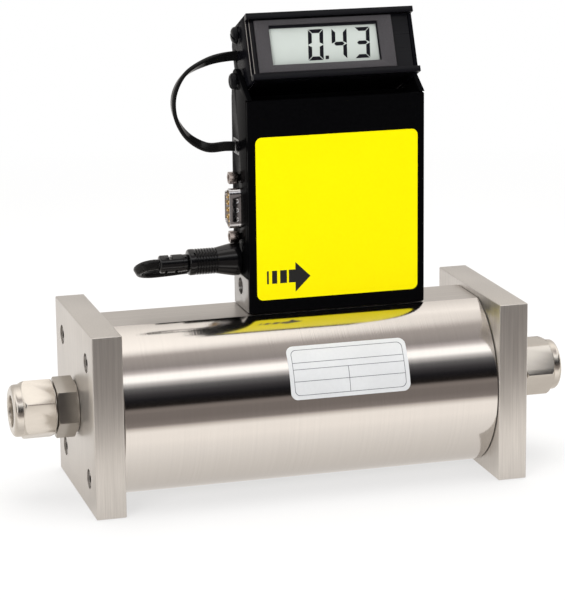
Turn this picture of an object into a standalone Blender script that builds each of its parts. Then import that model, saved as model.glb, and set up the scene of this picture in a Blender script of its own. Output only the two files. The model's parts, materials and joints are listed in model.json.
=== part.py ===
"""Thermal mass flow meter: stainless flow tube, black sensor head and tilting display.

Frame: X along the flow, inlet at -X, the display faces -Y, Z up.
Origin: on the floor, midway between the two end plates.
"""
from math import asin, atan2, cos, hypot, pi, radians, sin, sqrt

import bmesh
import bpy
from mathutils import Vector

MM = 0.001

# Clearances
SEAT_GAP = 0.3 * MM
SCREW_GAP = 0.3 * MM
RUNNING_GAP = 0.3 * MM

# Flow tube and end plates
TUBE_LENGTH = 160.0 * MM
TUBE_STEP = 0.2 * MM
TUBE_WALL = 12.9 * MM
PLATE_SIDE = 76.2 * MM
PLATE_THICKNESS = 12.5 * MM
PLATE_EDGE = 0.5 * MM
PLATE_HOLE_EDGE = 3.25 * MM
PORT_RADIUS = 10.3 * MM
DIFFUSER_STEP = 5.0 * MM
DIFFUSER_DEPTH = 5.0 * MM

# End plate screws, M4 with a socket head
SCREW_RADIUS = 2.0 * MM
SCREW_LENGTH = 20.0 * MM
SCREW_HEAD_RADIUS = 3.5 * MM
SCREW_HEAD_HEIGHT = 4.0 * MM
SCREW_SOCKET = 3.0 * MM
SCREW_SOCKET_DEPTH = 2.0 * MM
COUNTERBORE_RADIUS = 4.1 * MM
COUNTERBORE_DEPTH = 4.8 * MM

# O-ring between the tube and each end plate
O_RING_INSET = 3.4 * MM
O_RING_SECTION = 1.0 * MM

# Laminar flow element and its screens
ELEMENT_LENGTH = 80.0 * MM
ELEMENT_PASSAGE_RADIUS = 2.6 * MM
ELEMENT_RINGS = 2
ELEMENT_RIM = 6.7 * MM
SCREEN_THICKNESS = 1.2 * MM
SCREEN_HOLE_RADIUS = 3.2 * MM
SCREEN_OFFSET = 52.0 * MM

# Tube fittings for 12.7 mm tube
HEX_SIDE_TO_SIDE = 22.2 * MM
BODY_FOOT_RADIUS = 10.9 * MM
BODY_FOOT_LENGTH = 0.7 * MM
BODY_HEX_LENGTH = 8.2 * MM
BODY_SHANK_RADIUS = 10.0 * MM
BODY_SHANK_LENGTH = 11.0 * MM
BODY_NECK_RADIUS = 9.2 * MM
BODY_NECK_LENGTH = 8.0 * MM
BODY_BORE_RADIUS = 5.2 * MM
FITTING_TUBE_RADIUS = 6.45 * MM
FITTING_SOCKET_DEPTH = 11.0 * MM
NUT_GAP = 0.8 * MM
NUT_HEX_LENGTH = 13.4 * MM
NUT_NOSE_LENGTH = 3.8 * MM
NUT_NOSE_RADIUS = 10.9 * MM
NUT_FACE_RADIUS = 9.6 * MM
NUT_THREAD_LENGTH = 9.8 * MM
NUT_TAPER_LENGTH = 4.0 * MM
FERRULE_WALL = 1.2 * MM
FERRULE_LENGTH = 2.6 * MM

# Sensor head: base block, housing shell and front cover
HOUSING_X = 17.7 * MM
HOUSING_WIDTH = 76.2 * MM
HOUSING_DEPTH = 25.4 * MM
BLOCK_HEIGHT = 14.3 * MM
BLOCK_TONGUE_HEIGHT = 5.0 * MM
BLOCK_TONGUE_MARGIN = 3.1 * MM
TAP_RADIUS = 1.8 * MM
TAP_SPACING = 26.0 * MM
BASE_SCREW_INSET = 13.1 * MM
BASE_SCREW_LENGTH = 16.0 * MM
BASE_O_RING_RADIUS = 3.6 * MM
BASE_O_RING_SECTION = 0.8 * MM
SIDE_HOLE_RADIUS = 3.5 * MM
SIDE_HOLE_DEPTH = 8.0 * MM
SIDE_HOLE_Y = 2.5 * MM
SIDE_HOLE_HEIGHT = 9.4 * MM
PORT_PLUG_LENGTH = 5.0 * MM
PORT_PLUG_RECESS = 2.6 * MM
COVER_THICKNESS = 2.5 * MM
COVER_RISE = 4.1 * MM
COVER_EDGE = 0.5 * MM
COVER_RIM_THICKNESS = 1.5 * MM
COVER_RIM_DEPTH = 2.0 * MM
WALL = 2.0 * MM
DECK_HEIGHT = 85.3 * MM
EAR_RADIUS = 5.0 * MM

# Sensor tube and windings
SENSOR_TUBE_RADIUS = 0.8 * MM
SENSOR_RISE = 7.0 * MM
WINDING_RADIUS = 1.9 * MM
WINDING_LENGTH = 7.0 * MM
WINDING_SPACING = 10.0 * MM

# Circuit board
BOARD_INSET = 12.1 * MM
BOARD_HEADROOM = 5.3 * MM
BOARD_THICKNESS = 1.6 * MM
BOARD_STAND_OFF = 3.0 * MM
BOARD_BOTTOM = 34.0 * MM
BOSS_RADIUS = 2.5 * MM
BOARD_GRID = 2.0 * MM

# Side connectors: D connector, power jack and lead socket
CONNECTOR_Y = 4.2 * MM
D_HEIGHT = 42.5 * MM
D_SHELL_LENGTH = 16.9 * MM
D_SHELL_WIDTH = 8.4 * MM
D_SHELL_SLOPE = radians(10)
D_SHELL_CORNER = 2.4 * MM
D_SHELL_WALL = 0.5 * MM
D_SHELL_REACH = 4.8 * MM
D_FLANGE_LENGTH = 30.8 * MM
D_FLANGE_WIDTH = 12.4 * MM
D_FLANGE_THICKNESS = 0.8 * MM
D_SCREW_SPACING = 25.0 * MM
D_SCREW_SIDE_TO_SIDE = 4.8 * MM
D_SCREW_LENGTH = 3.8 * MM
D_SCREW_SHANK_RADIUS = 1.5 * MM
D_PIN_PITCH = 2.77 * MM
D_ROW_PITCH = 2.84 * MM
D_PIN_RADIUS = 0.5 * MM
D_PIN_LENGTH = 4.6 * MM
JACK_HEIGHT = 20.4 * MM
JACK_RADIUS = 5.2 * MM
JACK_NOSE_RADIUS = 3.9 * MM
JACK_LENGTH = 12.0 * MM
JACK_BORE_RADIUS = 2.9 * MM
JACK_BORE_DEPTH = 9.5 * MM
JACK_PIN_RADIUS = 0.9 * MM
SOCKET_Y = 6.2 * MM
SOCKET_HEIGHT = 67.9 * MM
SOCKET_WIDTH = 8.8 * MM
SOCKET_TALL = 6.6 * MM
SOCKET_DEPTH = 8.0 * MM
SOCKET_WALL = 1.0 * MM
LEAD_PLUG_LENGTH = 7.0 * MM

# Power plug and its strain relief
PLUG_RADIUS = 6.9 * MM
PLUG_STRAIGHT = 2.6 * MM
PLUG_TAPER = 7.2 * MM
PLUG_GRIP_RADIUS = 5.5 * MM
PLUG_GRIP_LENGTH = 12.2 * MM
PLUG_RIBS = 8
PLUG_RIB_DEPTH = 0.35 * MM
PLUG_BARREL_RADIUS = 2.6 * MM
PLUG_BARREL_LENGTH = 9.0 * MM
RELIEF_RADIUS = 3.7 * MM
RELIEF_END_RADIUS = 3.3 * MM
RELIEF_LENGTH = 12.0 * MM
RELIEF_NOTCHES = 2
RELIEF_NOTCH_DEPTH = 0.9 * MM
RELIEF_NOTCH_WIDTH = 1.4 * MM
RELIEF_NECK_LENGTH = 1.6 * MM

# Power cord: its coil lies on the floor behind the tube
CORD_DIAMETER = 4.4 * MM
COIL_X = -18.0 * MM
COIL_Y = 82.0 * MM
COIL_MEAN_RADIUS = 24.2 * MM
COIL_TURNS_WIDE = 2
COIL_TURNS_HIGH = 4
ADAPTER_X = 38.0 * MM
ADAPTER_Y = 86.0 * MM
ADAPTER_LENGTH = 54.0 * MM
ADAPTER_WIDTH = 40.0 * MM
ADAPTER_HEIGHT = 29.0 * MM
ADAPTER_EDGE = 3.0 * MM
BLADE_LENGTH = 17.0 * MM
BLADE_WIDTH = 6.4 * MM
BLADE_THICKNESS = 1.5 * MM
BLADE_SPACING = 12.7 * MM

# Tilting display head, measured from its pivot: back is +, front is -
LEAN = radians(23.3)
PIVOT_Y = 6.2 * MM
PIVOT_RISE = 9.8 * MM
CASE_BOTTOM = -5.1 * MM
CASE_HEIGHT = 28.0 * MM
CASE_FACE = -17.5 * MM
CASE_BACK = 7.5 * MM
CASE_WALL = 2.0 * MM
CASE_CHAMFER = 4.0 * MM
LIP_REACH = 3.0 * MM
LIP_THICKNESS = 2.4 * MM
CHEEK_THICKNESS = 1.6 * MM
CHEEK_BOSS_RADIUS = 3.9 * MM
CHEEK_BOSS_LENGTH = 4.0 * MM
CHEEK_SCREW_BACK = -2.9 * MM
CHEEK_SCREW_UP = 18.7 * MM
CHEEK_SCREW_BOSS_RADIUS = 3.4 * MM
PAN_HEAD_RADIUS = 3.6 * MM
PAN_HEAD_HEIGHT = 2.2 * MM
PAN_SLOT_WIDTH = 1.0 * MM
PAN_SLOT_DEPTH = 1.0 * MM
PIVOT_SCREW_LENGTH = 6.5 * MM
CHEEK_SCREW_LENGTH = 8.0 * MM
CHEEK_SCREW_RADIUS = 1.5 * MM
BEZEL_LEFT = 3.35 * MM
BEZEL_LENGTH = 58.8 * MM
BEZEL_HEIGHT = 22.4 * MM
BEZEL_FLANGE = 1.5 * MM
BEZEL_BODY_DEPTH = 7.5 * MM
BEZEL_BODY_INSET = 2.2 * MM
WINDOW_LENGTH = 46.5 * MM
WINDOW_HEIGHT = 16.0 * MM
WINDOW_LEFT = 5.9 * MM
WINDOW_DEPTH = 1.2 * MM
GLASS_THICKNESS = 1.4 * MM
GLASS_MARGIN = 1.2 * MM
DISPLAY_BOARD_THICKNESS = 1.6 * MM
LEAD_BACK = 1.6 * MM
LEAD_UP = 10.8 * MM

# Display lead: flat, and turned a quarter over its loop
LEAD_WIDTH = 4.2 * MM
LEAD_THICKNESS = 2.1 * MM
LEAD_INSIDE = 4.0 * MM

# Worked out from the sizes above
TUBE_Z = PLATE_SIDE / 2
TUBE_RADIUS = PLATE_SIDE / 2 - TUBE_STEP
TUBE_BORE_RADIUS = TUBE_RADIUS - TUBE_WALL
FLAT_WIDTH = HOUSING_DEPTH
PLATE_HOLE_SPACING = sqrt(2) * (TUBE_RADIUS - PLATE_HOLE_EDGE)
DIFFUSER_RADIUS = TUBE_BORE_RADIUS - DIFFUSER_STEP
O_RING_RADIUS = TUBE_BORE_RADIUS + O_RING_INSET
ELEMENT_RADIUS = TUBE_BORE_RADIUS - SEAT_GAP
ELEMENT_RING_PITCH = (ELEMENT_RADIUS - ELEMENT_RIM) / ELEMENT_RINGS
BASE_SCREW_SPACING = HOUSING_WIDTH - 2 * BASE_SCREW_INSET
BOARD_WIDTH = HOUSING_WIDTH - 2 * BOARD_INSET
BOARD_HEIGHT = DECK_HEIGHT - BOARD_BOTTOM - BOARD_HEADROOM
CASE_LENGTH = HOUSING_WIDTH - 2 * (WALL + RUNNING_GAP)
FLAT_Z = TUBE_Z + sqrt(TUBE_RADIUS ** 2 - (FLAT_WIDTH / 2) ** 2)
PLATE_INNER_X = TUBE_LENGTH / 2 + SEAT_GAP
PLATE_OUTER_X = PLATE_INNER_X + PLATE_THICKNESS
HOUSING_LEFT = HOUSING_X - HOUSING_WIDTH / 2
HOUSING_RIGHT = HOUSING_X + HOUSING_WIDTH / 2
HOUSING_FRONT = -HOUSING_DEPTH / 2
HOUSING_BACK = HOUSING_DEPTH / 2
COVER_BACK = HOUSING_FRONT + COVER_THICKNESS
SHELL_FRONT = COVER_BACK + SEAT_GAP
BLOCK_Z = FLAT_Z + SEAT_GAP
BLOCK_TOP = BLOCK_Z + BLOCK_HEIGHT
SHELL_Z = BLOCK_TOP + SEAT_GAP
DECK_TOP = BLOCK_Z + DECK_HEIGHT
COVER_TOP = DECK_TOP + COVER_RISE
PIVOT_Z = DECK_TOP + PIVOT_RISE
CASE_LEFT = HOUSING_X - CASE_LENGTH / 2
CASE_TOP = CASE_BOTTOM + CASE_HEIGHT
LIP_FRONT = CASE_FACE - LIP_REACH
BODY_HEX_START = SEAT_GAP + BODY_FOOT_LENGTH
NUT_START = BODY_HEX_START + BODY_HEX_LENGTH + NUT_GAP
NUT_END = NUT_START + NUT_HEX_LENGTH + NUT_NOSE_LENGTH

# Rotations that lay a shape's own Z along a world axis
ALONG_X = (0.0, pi / 2, 0.0)
ALONG_MINUS_X = (0.0, -pi / 2, 0.0)
PROFILE_ALONG_X = (pi / 2, 0.0, pi / 2)
FACING_FRONT = (pi / 2, 0.0, 0.0)
FACING_LEFT = (pi / 2, 0.0, -pi / 2)


def clear_scene():
    for old in list(bpy.data.objects):
        bpy.data.objects.remove(old, do_unlink=True)


def material(name, colour, roughness, metallic=0.0):
    made = bpy.data.materials.get(name)
    if made is None:
        made = bpy.data.materials.new(name)
        made.use_nodes = True
        shader = made.node_tree.nodes["Principled BSDF"]
        shader.inputs["Base Color"].default_value = (*colour, 1.0)
        shader.inputs["Roughness"].default_value = roughness
        shader.inputs["Metallic"].default_value = metallic
    return made


def stainless():
    return material("stainless", (0.58, 0.55, 0.50), 0.28, 1.0)


def plated():
    return material("plated", (0.62, 0.60, 0.56), 0.25, 1.0)


def black_plastic():
    return material("black_plastic", (0.012, 0.012, 0.013), 0.4)


def black_metal():
    return material("black_metal", (0.015, 0.015, 0.018), 0.35, 0.2)


def rubber():
    return material("rubber", (0.02, 0.02, 0.02), 0.7)


def aluminium():
    return material("aluminium", (0.72, 0.72, 0.72), 0.4, 1.0)


def add(name, mesh, finish, location=(0, 0, 0), rotation=(0, 0, 0), parent=None):
    """Puts a mesh in the scene as one named object."""
    made = bpy.data.objects.new(name, mesh)
    made.location = location
    made.rotation_euler = rotation
    made.parent = parent
    if finish is not None:
        mesh.materials.append(finish)
    bpy.context.scene.collection.objects.link(made)
    return made


def boolean(target, tool, operation):
    """Cuts, joins or trims the target with a second object, which is then hidden."""
    step = target.modifiers.new(operation.lower(), "BOOLEAN")
    step.operation = operation
    step.object = tool
    step.solver = "EXACT"
    tool.hide_render = True
    tool.display_type = "WIRE"
    return target


def cut(target, tool):
    return boolean(target, tool, "DIFFERENCE")


def join(target, tool):
    return boolean(target, tool, "UNION")


def trim(target, tool):
    return boolean(target, tool, "INTERSECT")


def to_mesh(name, shape, smooth_angle=None):
    """Turns a bmesh into a mesh with its faces pointing out."""
    bmesh.ops.recalc_face_normals(shape, faces=shape.faces[:])
    mesh = bpy.data.meshes.new(name)
    shape.to_mesh(mesh)
    shape.free()
    if smooth_angle is not None:
        mesh.shade_smooth()
        mesh.set_sharp_from_angle(angle=smooth_angle)
    return mesh


def turned(name, profile, segments=32):
    """A lathe shape about Z, from (radius, height) points.

    A profile that starts and ends on the axis gives a plain solid, any other gives a ring.
    """
    shape = bmesh.new()
    points = [shape.verts.new((radius, 0.0, height)) for radius, height in profile]
    edges = [shape.edges.new(pair) for pair in zip(points, points[1:])]
    if profile[0][0] > 0:
        edges.append(shape.edges.new((points[-1], points[0])))
    bmesh.ops.spin(
        shape, geom=points + edges, cent=(0, 0, 0), axis=(0, 0, 1),
        angle=2 * pi, steps=segments, use_merge=True,
    )
    bmesh.ops.remove_doubles(shape, verts=shape.verts[:], dist=1e-6)
    return to_mesh(name, shape, radians(35))


def prism(name, outline, depth, start=0.0):
    """A flat outline in X and Y, extruded along Z."""
    shape = bmesh.new()
    corners = [shape.verts.new((x, y, start)) for x, y in outline]
    face = shape.faces.new(corners)
    grown = bmesh.ops.extrude_face_region(shape, geom=[face])
    moved = [item for item in grown["geom"] if isinstance(item, bmesh.types.BMVert)]
    bmesh.ops.translate(shape, verts=moved, vec=(0, 0, depth))
    return to_mesh(name, shape, radians(35))


def block(name, low, high):
    """A plain box between two corners."""
    shape = bmesh.new()
    bmesh.ops.create_cube(shape, size=1.0)
    size = [b - a for a, b in zip(low, high)]
    middle = [(a + b) / 2 for a, b in zip(low, high)]
    bmesh.ops.scale(shape, verts=shape.verts[:], vec=size)
    bmesh.ops.translate(shape, verts=shape.verts[:], vec=middle)
    return to_mesh(name, shape)


def rods(name, centres, radius, low, high, segments=16):
    """Several parallel rods along Z in one mesh, for drilling a pattern of holes."""
    shape = bmesh.new()
    for x, y in centres:
        made = bmesh.ops.create_cone(
            shape, cap_ends=True, segments=segments, radius1=radius, radius2=radius, depth=high - low,
        )
        bmesh.ops.translate(shape, verts=made["verts"], vec=(x, y, (low + high) / 2))
    return to_mesh(name, shape, radians(35))


def rounded(width, height, corner, steps=4, centre=(0.0, 0.0)):
    """Outline of a rectangle with round corners."""
    points = []
    for index, (sx, sy) in enumerate(((1, 1), (-1, 1), (-1, -1), (1, -1))):
        for step in range(steps + 1):
            angle = (index + step / steps) * pi / 2
            points.append((
                centre[0] + sx * (width / 2 - corner) + corner * cos(angle),
                centre[1] + sy * (height / 2 - corner) + corner * sin(angle),
            ))
    return points


def hexagon(side_to_side, turn=0.0):
    """Outline of a hexagon with a corner at the angle given."""
    radius = side_to_side / sqrt(3)
    return [(radius * cos(turn + i * pi / 3), radius * sin(turn + i * pi / 3)) for i in range(6)]


def soften(target, width, segments=1):
    """Breaks the sharp edges of a box-like piece."""
    edge = target.modifiers.new("edges", "BEVEL")
    edge.width = width
    edge.segments = segments
    edge.limit_method = "ANGLE"
    return target


def plate_corners():
    reach = PLATE_HOLE_SPACING / 2
    return [(-reach, -reach), (-reach, reach), (reach, -reach), (reach, reach)]


def flow_tube():
    half = TUBE_LENGTH / 2
    profile = [
        (TUBE_RADIUS, half), (TUBE_RADIUS, -half), (TUBE_BORE_RADIUS, -half), (TUBE_BORE_RADIUS, half),
    ]
    tube = add("flow_tube", turned("flow_tube", profile, 56), stainless(), (0, 0, TUBE_Z), ALONG_X)
    margin = 2 * MM
    flat = add("flat_cutter", block(
        "flat_cutter",
        (-half - margin, -TUBE_RADIUS, FLAT_Z),
        (half + margin, TUBE_RADIUS, FLAT_Z + TUBE_RADIUS),
    ), None)
    cut(tube, flat)
    depth = SCREW_LENGTH - (PLATE_THICKNESS - COUNTERBORE_DEPTH) + margin
    for side in (-1, 1):
        ends = sorted((side * (half - depth), side * (half + margin)))
        holes = rods("tube_thread_cutter", plate_corners(), SCREW_RADIUS + SCREW_GAP, *ends, 12)
        cut(tube, add("tube_thread_cutter", holes, None, (0, 0, TUBE_Z), ALONG_X))
    bore_top = TUBE_Z + TUBE_BORE_RADIUS
    taps = rods("tube_tap_cutter", tap_centres(), TAP_RADIUS, bore_top - margin, FLAT_Z + margin, 12)
    cut(tube, add("tube_tap_cutter", taps, None))
    threads = rods(
        "tube_base_thread_cutter", base_screw_centres(), SCREW_RADIUS + SCREW_GAP,
        base_screw_seat() - BASE_SCREW_LENGTH - margin / 2, FLAT_Z + margin, 12,
    )
    cut(tube, add("tube_base_thread_cutter", threads, None))


def tap_centres():
    return [(HOUSING_X - TAP_SPACING / 2, 0.0), (HOUSING_X + TAP_SPACING / 2, 0.0)]


def base_screw_centres():
    return [(HOUSING_X - BASE_SCREW_SPACING / 2, 0.0), (HOUSING_X + BASE_SCREW_SPACING / 2, 0.0)]


def base_screw_seat():
    return BLOCK_TOP - COUNTERBORE_DEPTH


def end_plate(name, side):
    """A square plate; its own Z points away from the tube."""
    half = PLATE_SIDE / 2
    plate = add(name, block(name, (-half, -half, 0), (half, half, PLATE_THICKNESS)), stainless(),
                (side * PLATE_INNER_X, 0, TUBE_Z), ALONG_X if side > 0 else ALONG_MINUS_X)
    soften(plate, PLATE_EDGE)
    margin = 1 * MM
    port = [
        (0, -margin), (DIFFUSER_RADIUS + margin, -margin), (DIFFUSER_RADIUS, 0),
        (PORT_RADIUS, DIFFUSER_DEPTH), (PORT_RADIUS, PLATE_THICKNESS + margin), (0, PLATE_THICKNESS + margin),
    ]
    seat = PLATE_THICKNESS - COUNTERBORE_DEPTH
    holes = rods("hole_cutter", plate_corners(), SCREW_RADIUS + SCREW_GAP, -margin, seat + margin, 12)
    sinks = rods("counterbore_cutter", plate_corners(), COUNTERBORE_RADIUS, seat, PLATE_THICKNESS + margin, 16)
    inner = O_RING_RADIUS - O_RING_SECTION - SEAT_GAP
    outer = O_RING_RADIUS + O_RING_SECTION + SEAT_GAP
    groove_depth = 2 * O_RING_SECTION + SEAT_GAP
    groove = [(outer, -margin), (outer, groove_depth), (inner, groove_depth), (inner, -margin)]
    for label, mesh in (
        ("port_cutter", turned("port_cutter", port, 24)),
        ("hole_cutter", holes),
        ("counterbore_cutter", sinks),
        ("groove_cutter", turned("groove_cutter", groove, 24)),
    ):
        cut(plate, add(label, mesh, None, plate.location, plate.rotation_euler))
    for index, (x, y) in enumerate(plate_corners()):
        place = plate.matrix_basis @ Vector((x, y, seat + SEAT_GAP))
        socket_screw(f"{name}_screw_{index + 1}", place, plate.rotation_euler)
    ring = turned(f"{name}_o_ring", ring_profile(O_RING_RADIUS, O_RING_SECTION, 6), 24)
    lift = O_RING_SECTION
    add(f"{name}_o_ring", ring, rubber(), plate.matrix_basis @ Vector((0, 0, lift)), plate.rotation_euler)


def ring_profile(radius, section, points=8):
    return [
        (radius + section * cos(2 * pi * i / points), -section * sin(2 * pi * i / points))
        for i in range(points)
    ]


def socket_screw(name, location, rotation, length=SCREW_LENGTH):
    """Socket-head screw: its head stands on the origin, its shank runs down its own -Z."""
    edge = 0.4 * MM
    profile = [
        (0, SCREW_HEAD_HEIGHT), (SCREW_HEAD_RADIUS - edge, SCREW_HEAD_HEIGHT),
        (SCREW_HEAD_RADIUS, SCREW_HEAD_HEIGHT - edge), (SCREW_HEAD_RADIUS, 0), (SCREW_RADIUS, 0),
        (SCREW_RADIUS, edge - length), (SCREW_RADIUS - edge, -length), (0, -length),
    ]
    screw = add(name, turned(name, profile, 12), plated(), location, rotation)
    recess = prism("socket_cutter", hexagon(SCREW_SOCKET), SCREW_SOCKET_DEPTH + edge,
                   SCREW_HEAD_HEIGHT - SCREW_SOCKET_DEPTH)
    cut(screw, add("socket_cutter", recess, None, location, rotation))
    return screw


def flow_element():
    """Laminar element: a plug with rings of straight passages."""
    half = ELEMENT_LENGTH / 2
    profile = [(0, half), (ELEMENT_RADIUS, half), (ELEMENT_RADIUS, -half), (0, -half)]
    element = add("laminar_flow_element", turned("laminar_flow_element", profile, 32), stainless(),
                  (0, 0, TUBE_Z), ALONG_X)
    margin = 1 * MM
    passages = rods("passage_cutter", rings_of_holes(), ELEMENT_PASSAGE_RADIUS, -half - margin, half + margin, 6)
    cut(element, add("passage_cutter", passages, None, element.location, ALONG_X))


def rings_of_holes():
    centres = [(0.0, 0.0)]
    for ring in range(1, ELEMENT_RINGS + 1):
        for index in range(6 * ring):
            angle = 2 * pi * index / (6 * ring)
            centres.append((ring * ELEMENT_RING_PITCH * cos(angle), ring * ELEMENT_RING_PITCH * sin(angle)))
    return centres


def flow_screen(name, x):
    half = SCREEN_THICKNESS / 2
    profile = [(0, half), (ELEMENT_RADIUS, half), (ELEMENT_RADIUS, -half), (0, -half)]
    screen = add(name, turned(name, profile, 32), stainless(), (x, 0, TUBE_Z), ALONG_X)
    margin = 1 * MM
    holes = rods("screen_cutter", rings_of_holes(), SCREEN_HOLE_RADIUS, -half - margin, half + margin, 6)
    cut(screen, add("screen_cutter", holes, None, screen.location, ALONG_X))


def fitting(prefix, side, body_turn, nut_turn):
    """One tube fitting; its own Z points away from the end plate."""
    place = ((side * PLATE_OUTER_X, 0, TUBE_Z), ALONG_X if side > 0 else ALONG_MINUS_X)
    corner = HEX_SIDE_TO_SIDE / sqrt(3) + 0.1 * MM
    chamfer = 1.2 * MM
    hex_end = BODY_HEX_START + BODY_HEX_LENGTH
    neck_end = hex_end + BODY_NECK_LENGTH

    body = add(f"{prefix}_fitting_body", turned(f"{prefix}_fitting_body", [
        (0, neck_end), (BODY_NECK_RADIUS, neck_end), (BODY_NECK_RADIUS, hex_end),
        (corner - chamfer, hex_end), (corner, hex_end - chamfer / 2), (corner, BODY_HEX_START + chamfer / 2),
        (corner - chamfer, BODY_HEX_START), (BODY_FOOT_RADIUS, BODY_HEX_START), (BODY_FOOT_RADIUS, SEAT_GAP),
        (BODY_SHANK_RADIUS, SEAT_GAP), (BODY_SHANK_RADIUS, -BODY_SHANK_LENGTH), (0, -BODY_SHANK_LENGTH),
    ], 24), stainless(), *place)
    trim(body, add(f"{prefix}_body_hexagon", body_envelope(body_turn, hex_end, neck_end), None, *place))
    shoulder = neck_end - FITTING_SOCKET_DEPTH
    margin = 1 * MM
    mouth = FERRULE_WALL + SEAT_GAP
    cut(body, add(f"{prefix}_body_bore_cutter", turned(f"{prefix}_body_bore_cutter", [
        (0, neck_end + margin), (FITTING_TUBE_RADIUS + mouth, neck_end + margin),
        (FITTING_TUBE_RADIUS + mouth, neck_end - FERRULE_LENGTH / 2),
        (FITTING_TUBE_RADIUS, neck_end - FERRULE_LENGTH), (FITTING_TUBE_RADIUS, shoulder),
        (BODY_BORE_RADIUS, shoulder), (BODY_BORE_RADIUS, -BODY_SHANK_LENGTH - margin),
        (0, -BODY_SHANK_LENGTH - margin),
    ], 24), None, *place))

    nose_start = NUT_START + NUT_HEX_LENGTH
    nut = add(f"{prefix}_fitting_nut", turned(f"{prefix}_fitting_nut", [
        (0, NUT_END), (NUT_FACE_RADIUS, NUT_END), (NUT_NOSE_RADIUS - 0.3 * MM, NUT_END - 1.0 * MM),
        (NUT_NOSE_RADIUS, NUT_END - 2.4 * MM), (NUT_NOSE_RADIUS, nose_start + 0.8 * MM),
        (corner, nose_start - 0.6 * MM), (corner, NUT_START + chamfer / 2), (corner - chamfer, NUT_START),
        (0, NUT_START),
    ], 24), stainless(), *place)
    trim(nut, add(f"{prefix}_nut_hexagon", prism(
        f"{prefix}_nut_hexagon", hexagon(HEX_SIDE_TO_SIDE, nut_turn),
        NUT_END - NUT_START + 2 * margin, NUT_START - margin), None, *place))
    thread = BODY_NECK_RADIUS + SEAT_GAP
    thread_end = NUT_START + NUT_THREAD_LENGTH
    taper_end = thread_end + NUT_TAPER_LENGTH
    way = FITTING_TUBE_RADIUS + 0.15 * MM
    cut(nut, add(f"{prefix}_nut_bore_cutter", turned(f"{prefix}_nut_bore_cutter", [
        (0, NUT_END + margin), (way, NUT_END + margin), (way, taper_end), (thread, thread_end),
        (thread, NUT_START - margin), (0, NUT_START - margin),
    ], 24), None, *place))

    front_start = neck_end - FERRULE_LENGTH / 2 + SEAT_GAP
    ferrule(f"{prefix}_front_ferrule", place, front_start)
    ferrule(f"{prefix}_back_ferrule", place, front_start + FERRULE_LENGTH + SEAT_GAP)


def body_envelope(turn, hex_end, neck_end):
    """A hexagonal bar that is longer than the fitting's body and wider than its neck."""
    margin = 1 * MM
    bottom = -BODY_SHANK_LENGTH - margin
    return prism("body_hexagon", hexagon(HEX_SIDE_TO_SIDE, turn), neck_end - bottom + margin, bottom)


def ferrule(name, place, start):
    bore = FITTING_TUBE_RADIUS + 0.15 * MM
    outer = FITTING_TUBE_RADIUS + FERRULE_WALL
    profile = [
        (outer, start + FERRULE_LENGTH), (outer, start + FERRULE_LENGTH / 2), (bore + 0.4 * MM, start),
        (bore, start), (bore, start + FERRULE_LENGTH),
    ]
    add(name, turned(name, profile, 24), stainless(), *place)


def sensor_base_block():
    low = (HOUSING_LEFT, SHELL_FRONT, BLOCK_Z)
    high = (HOUSING_RIGHT, HOUSING_BACK, BLOCK_TOP)
    base = add("sensor_base_block", block("sensor_base_block", low, high), aluminium())
    inset = WALL + SEAT_GAP
    overlap = 1 * MM
    half = TAP_SPACING / 2 + BLOCK_TONGUE_MARGIN
    tongue = block(
        "tongue",
        (HOUSING_X - half, SHELL_FRONT + COVER_RIM_DEPTH, BLOCK_TOP - overlap),
        (HOUSING_X + half, HOUSING_BACK - inset, BLOCK_TOP + BLOCK_TONGUE_HEIGHT),
    )
    join(base, add("tongue", tongue, None))
    margin = 1 * MM
    taps = rods("block_tap_cutter", tap_centres(), TAP_RADIUS, BLOCK_Z - margin, BLOCK_TOP + 8 * MM, 12)
    cut(base, add("block_tap_cutter", taps, None))
    shanks = rods("block_shank_cutter", base_screw_centres(), SCREW_RADIUS + SCREW_GAP,
                  BLOCK_Z - margin, base_screw_seat() + margin, 12)
    cut(base, add("block_shank_cutter", shanks, None))
    heads = rods("block_head_cutter", base_screw_centres(), COUNTERBORE_RADIUS,
                 base_screw_seat(), BLOCK_TOP + margin, 24)
    cut(base, add("block_head_cutter", heads, None))
    for x, y in tap_centres():
        outer = BASE_O_RING_RADIUS + BASE_O_RING_SECTION + SEAT_GAP
        seat = rods("seal_cutter", [(x, y)], outer, BLOCK_Z - margin, BLOCK_Z + 2 * BASE_O_RING_SECTION, 20)
        cut(base, add("seal_cutter", seat, None))
    hole = rods("side_hole_cutter", [(0, 0)], SIDE_HOLE_RADIUS, -SIDE_HOLE_DEPTH, margin, 24)
    cut(base, add("side_hole_cutter", hole, None,
                  (HOUSING_LEFT, SIDE_HOLE_Y, FLAT_Z + SIDE_HOLE_HEIGHT), ALONG_MINUS_X))

    for label, (x, y) in zip(("upstream", "downstream"), tap_centres()):
        ring = turned(f"base_seal_{label}", ring_profile(BASE_O_RING_RADIUS, BASE_O_RING_SECTION, 6), 16)
        add(f"base_seal_{label}", ring, rubber(), (x, y, FLAT_Z + SEAT_GAP / 2 + BASE_O_RING_SECTION))
    for index, (x, y) in enumerate(base_screw_centres()):
        socket_screw(f"base_screw_{index + 1}", (x, y, base_screw_seat() + SEAT_GAP), (0, 0, 0), BASE_SCREW_LENGTH)
    port_plug()


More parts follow.
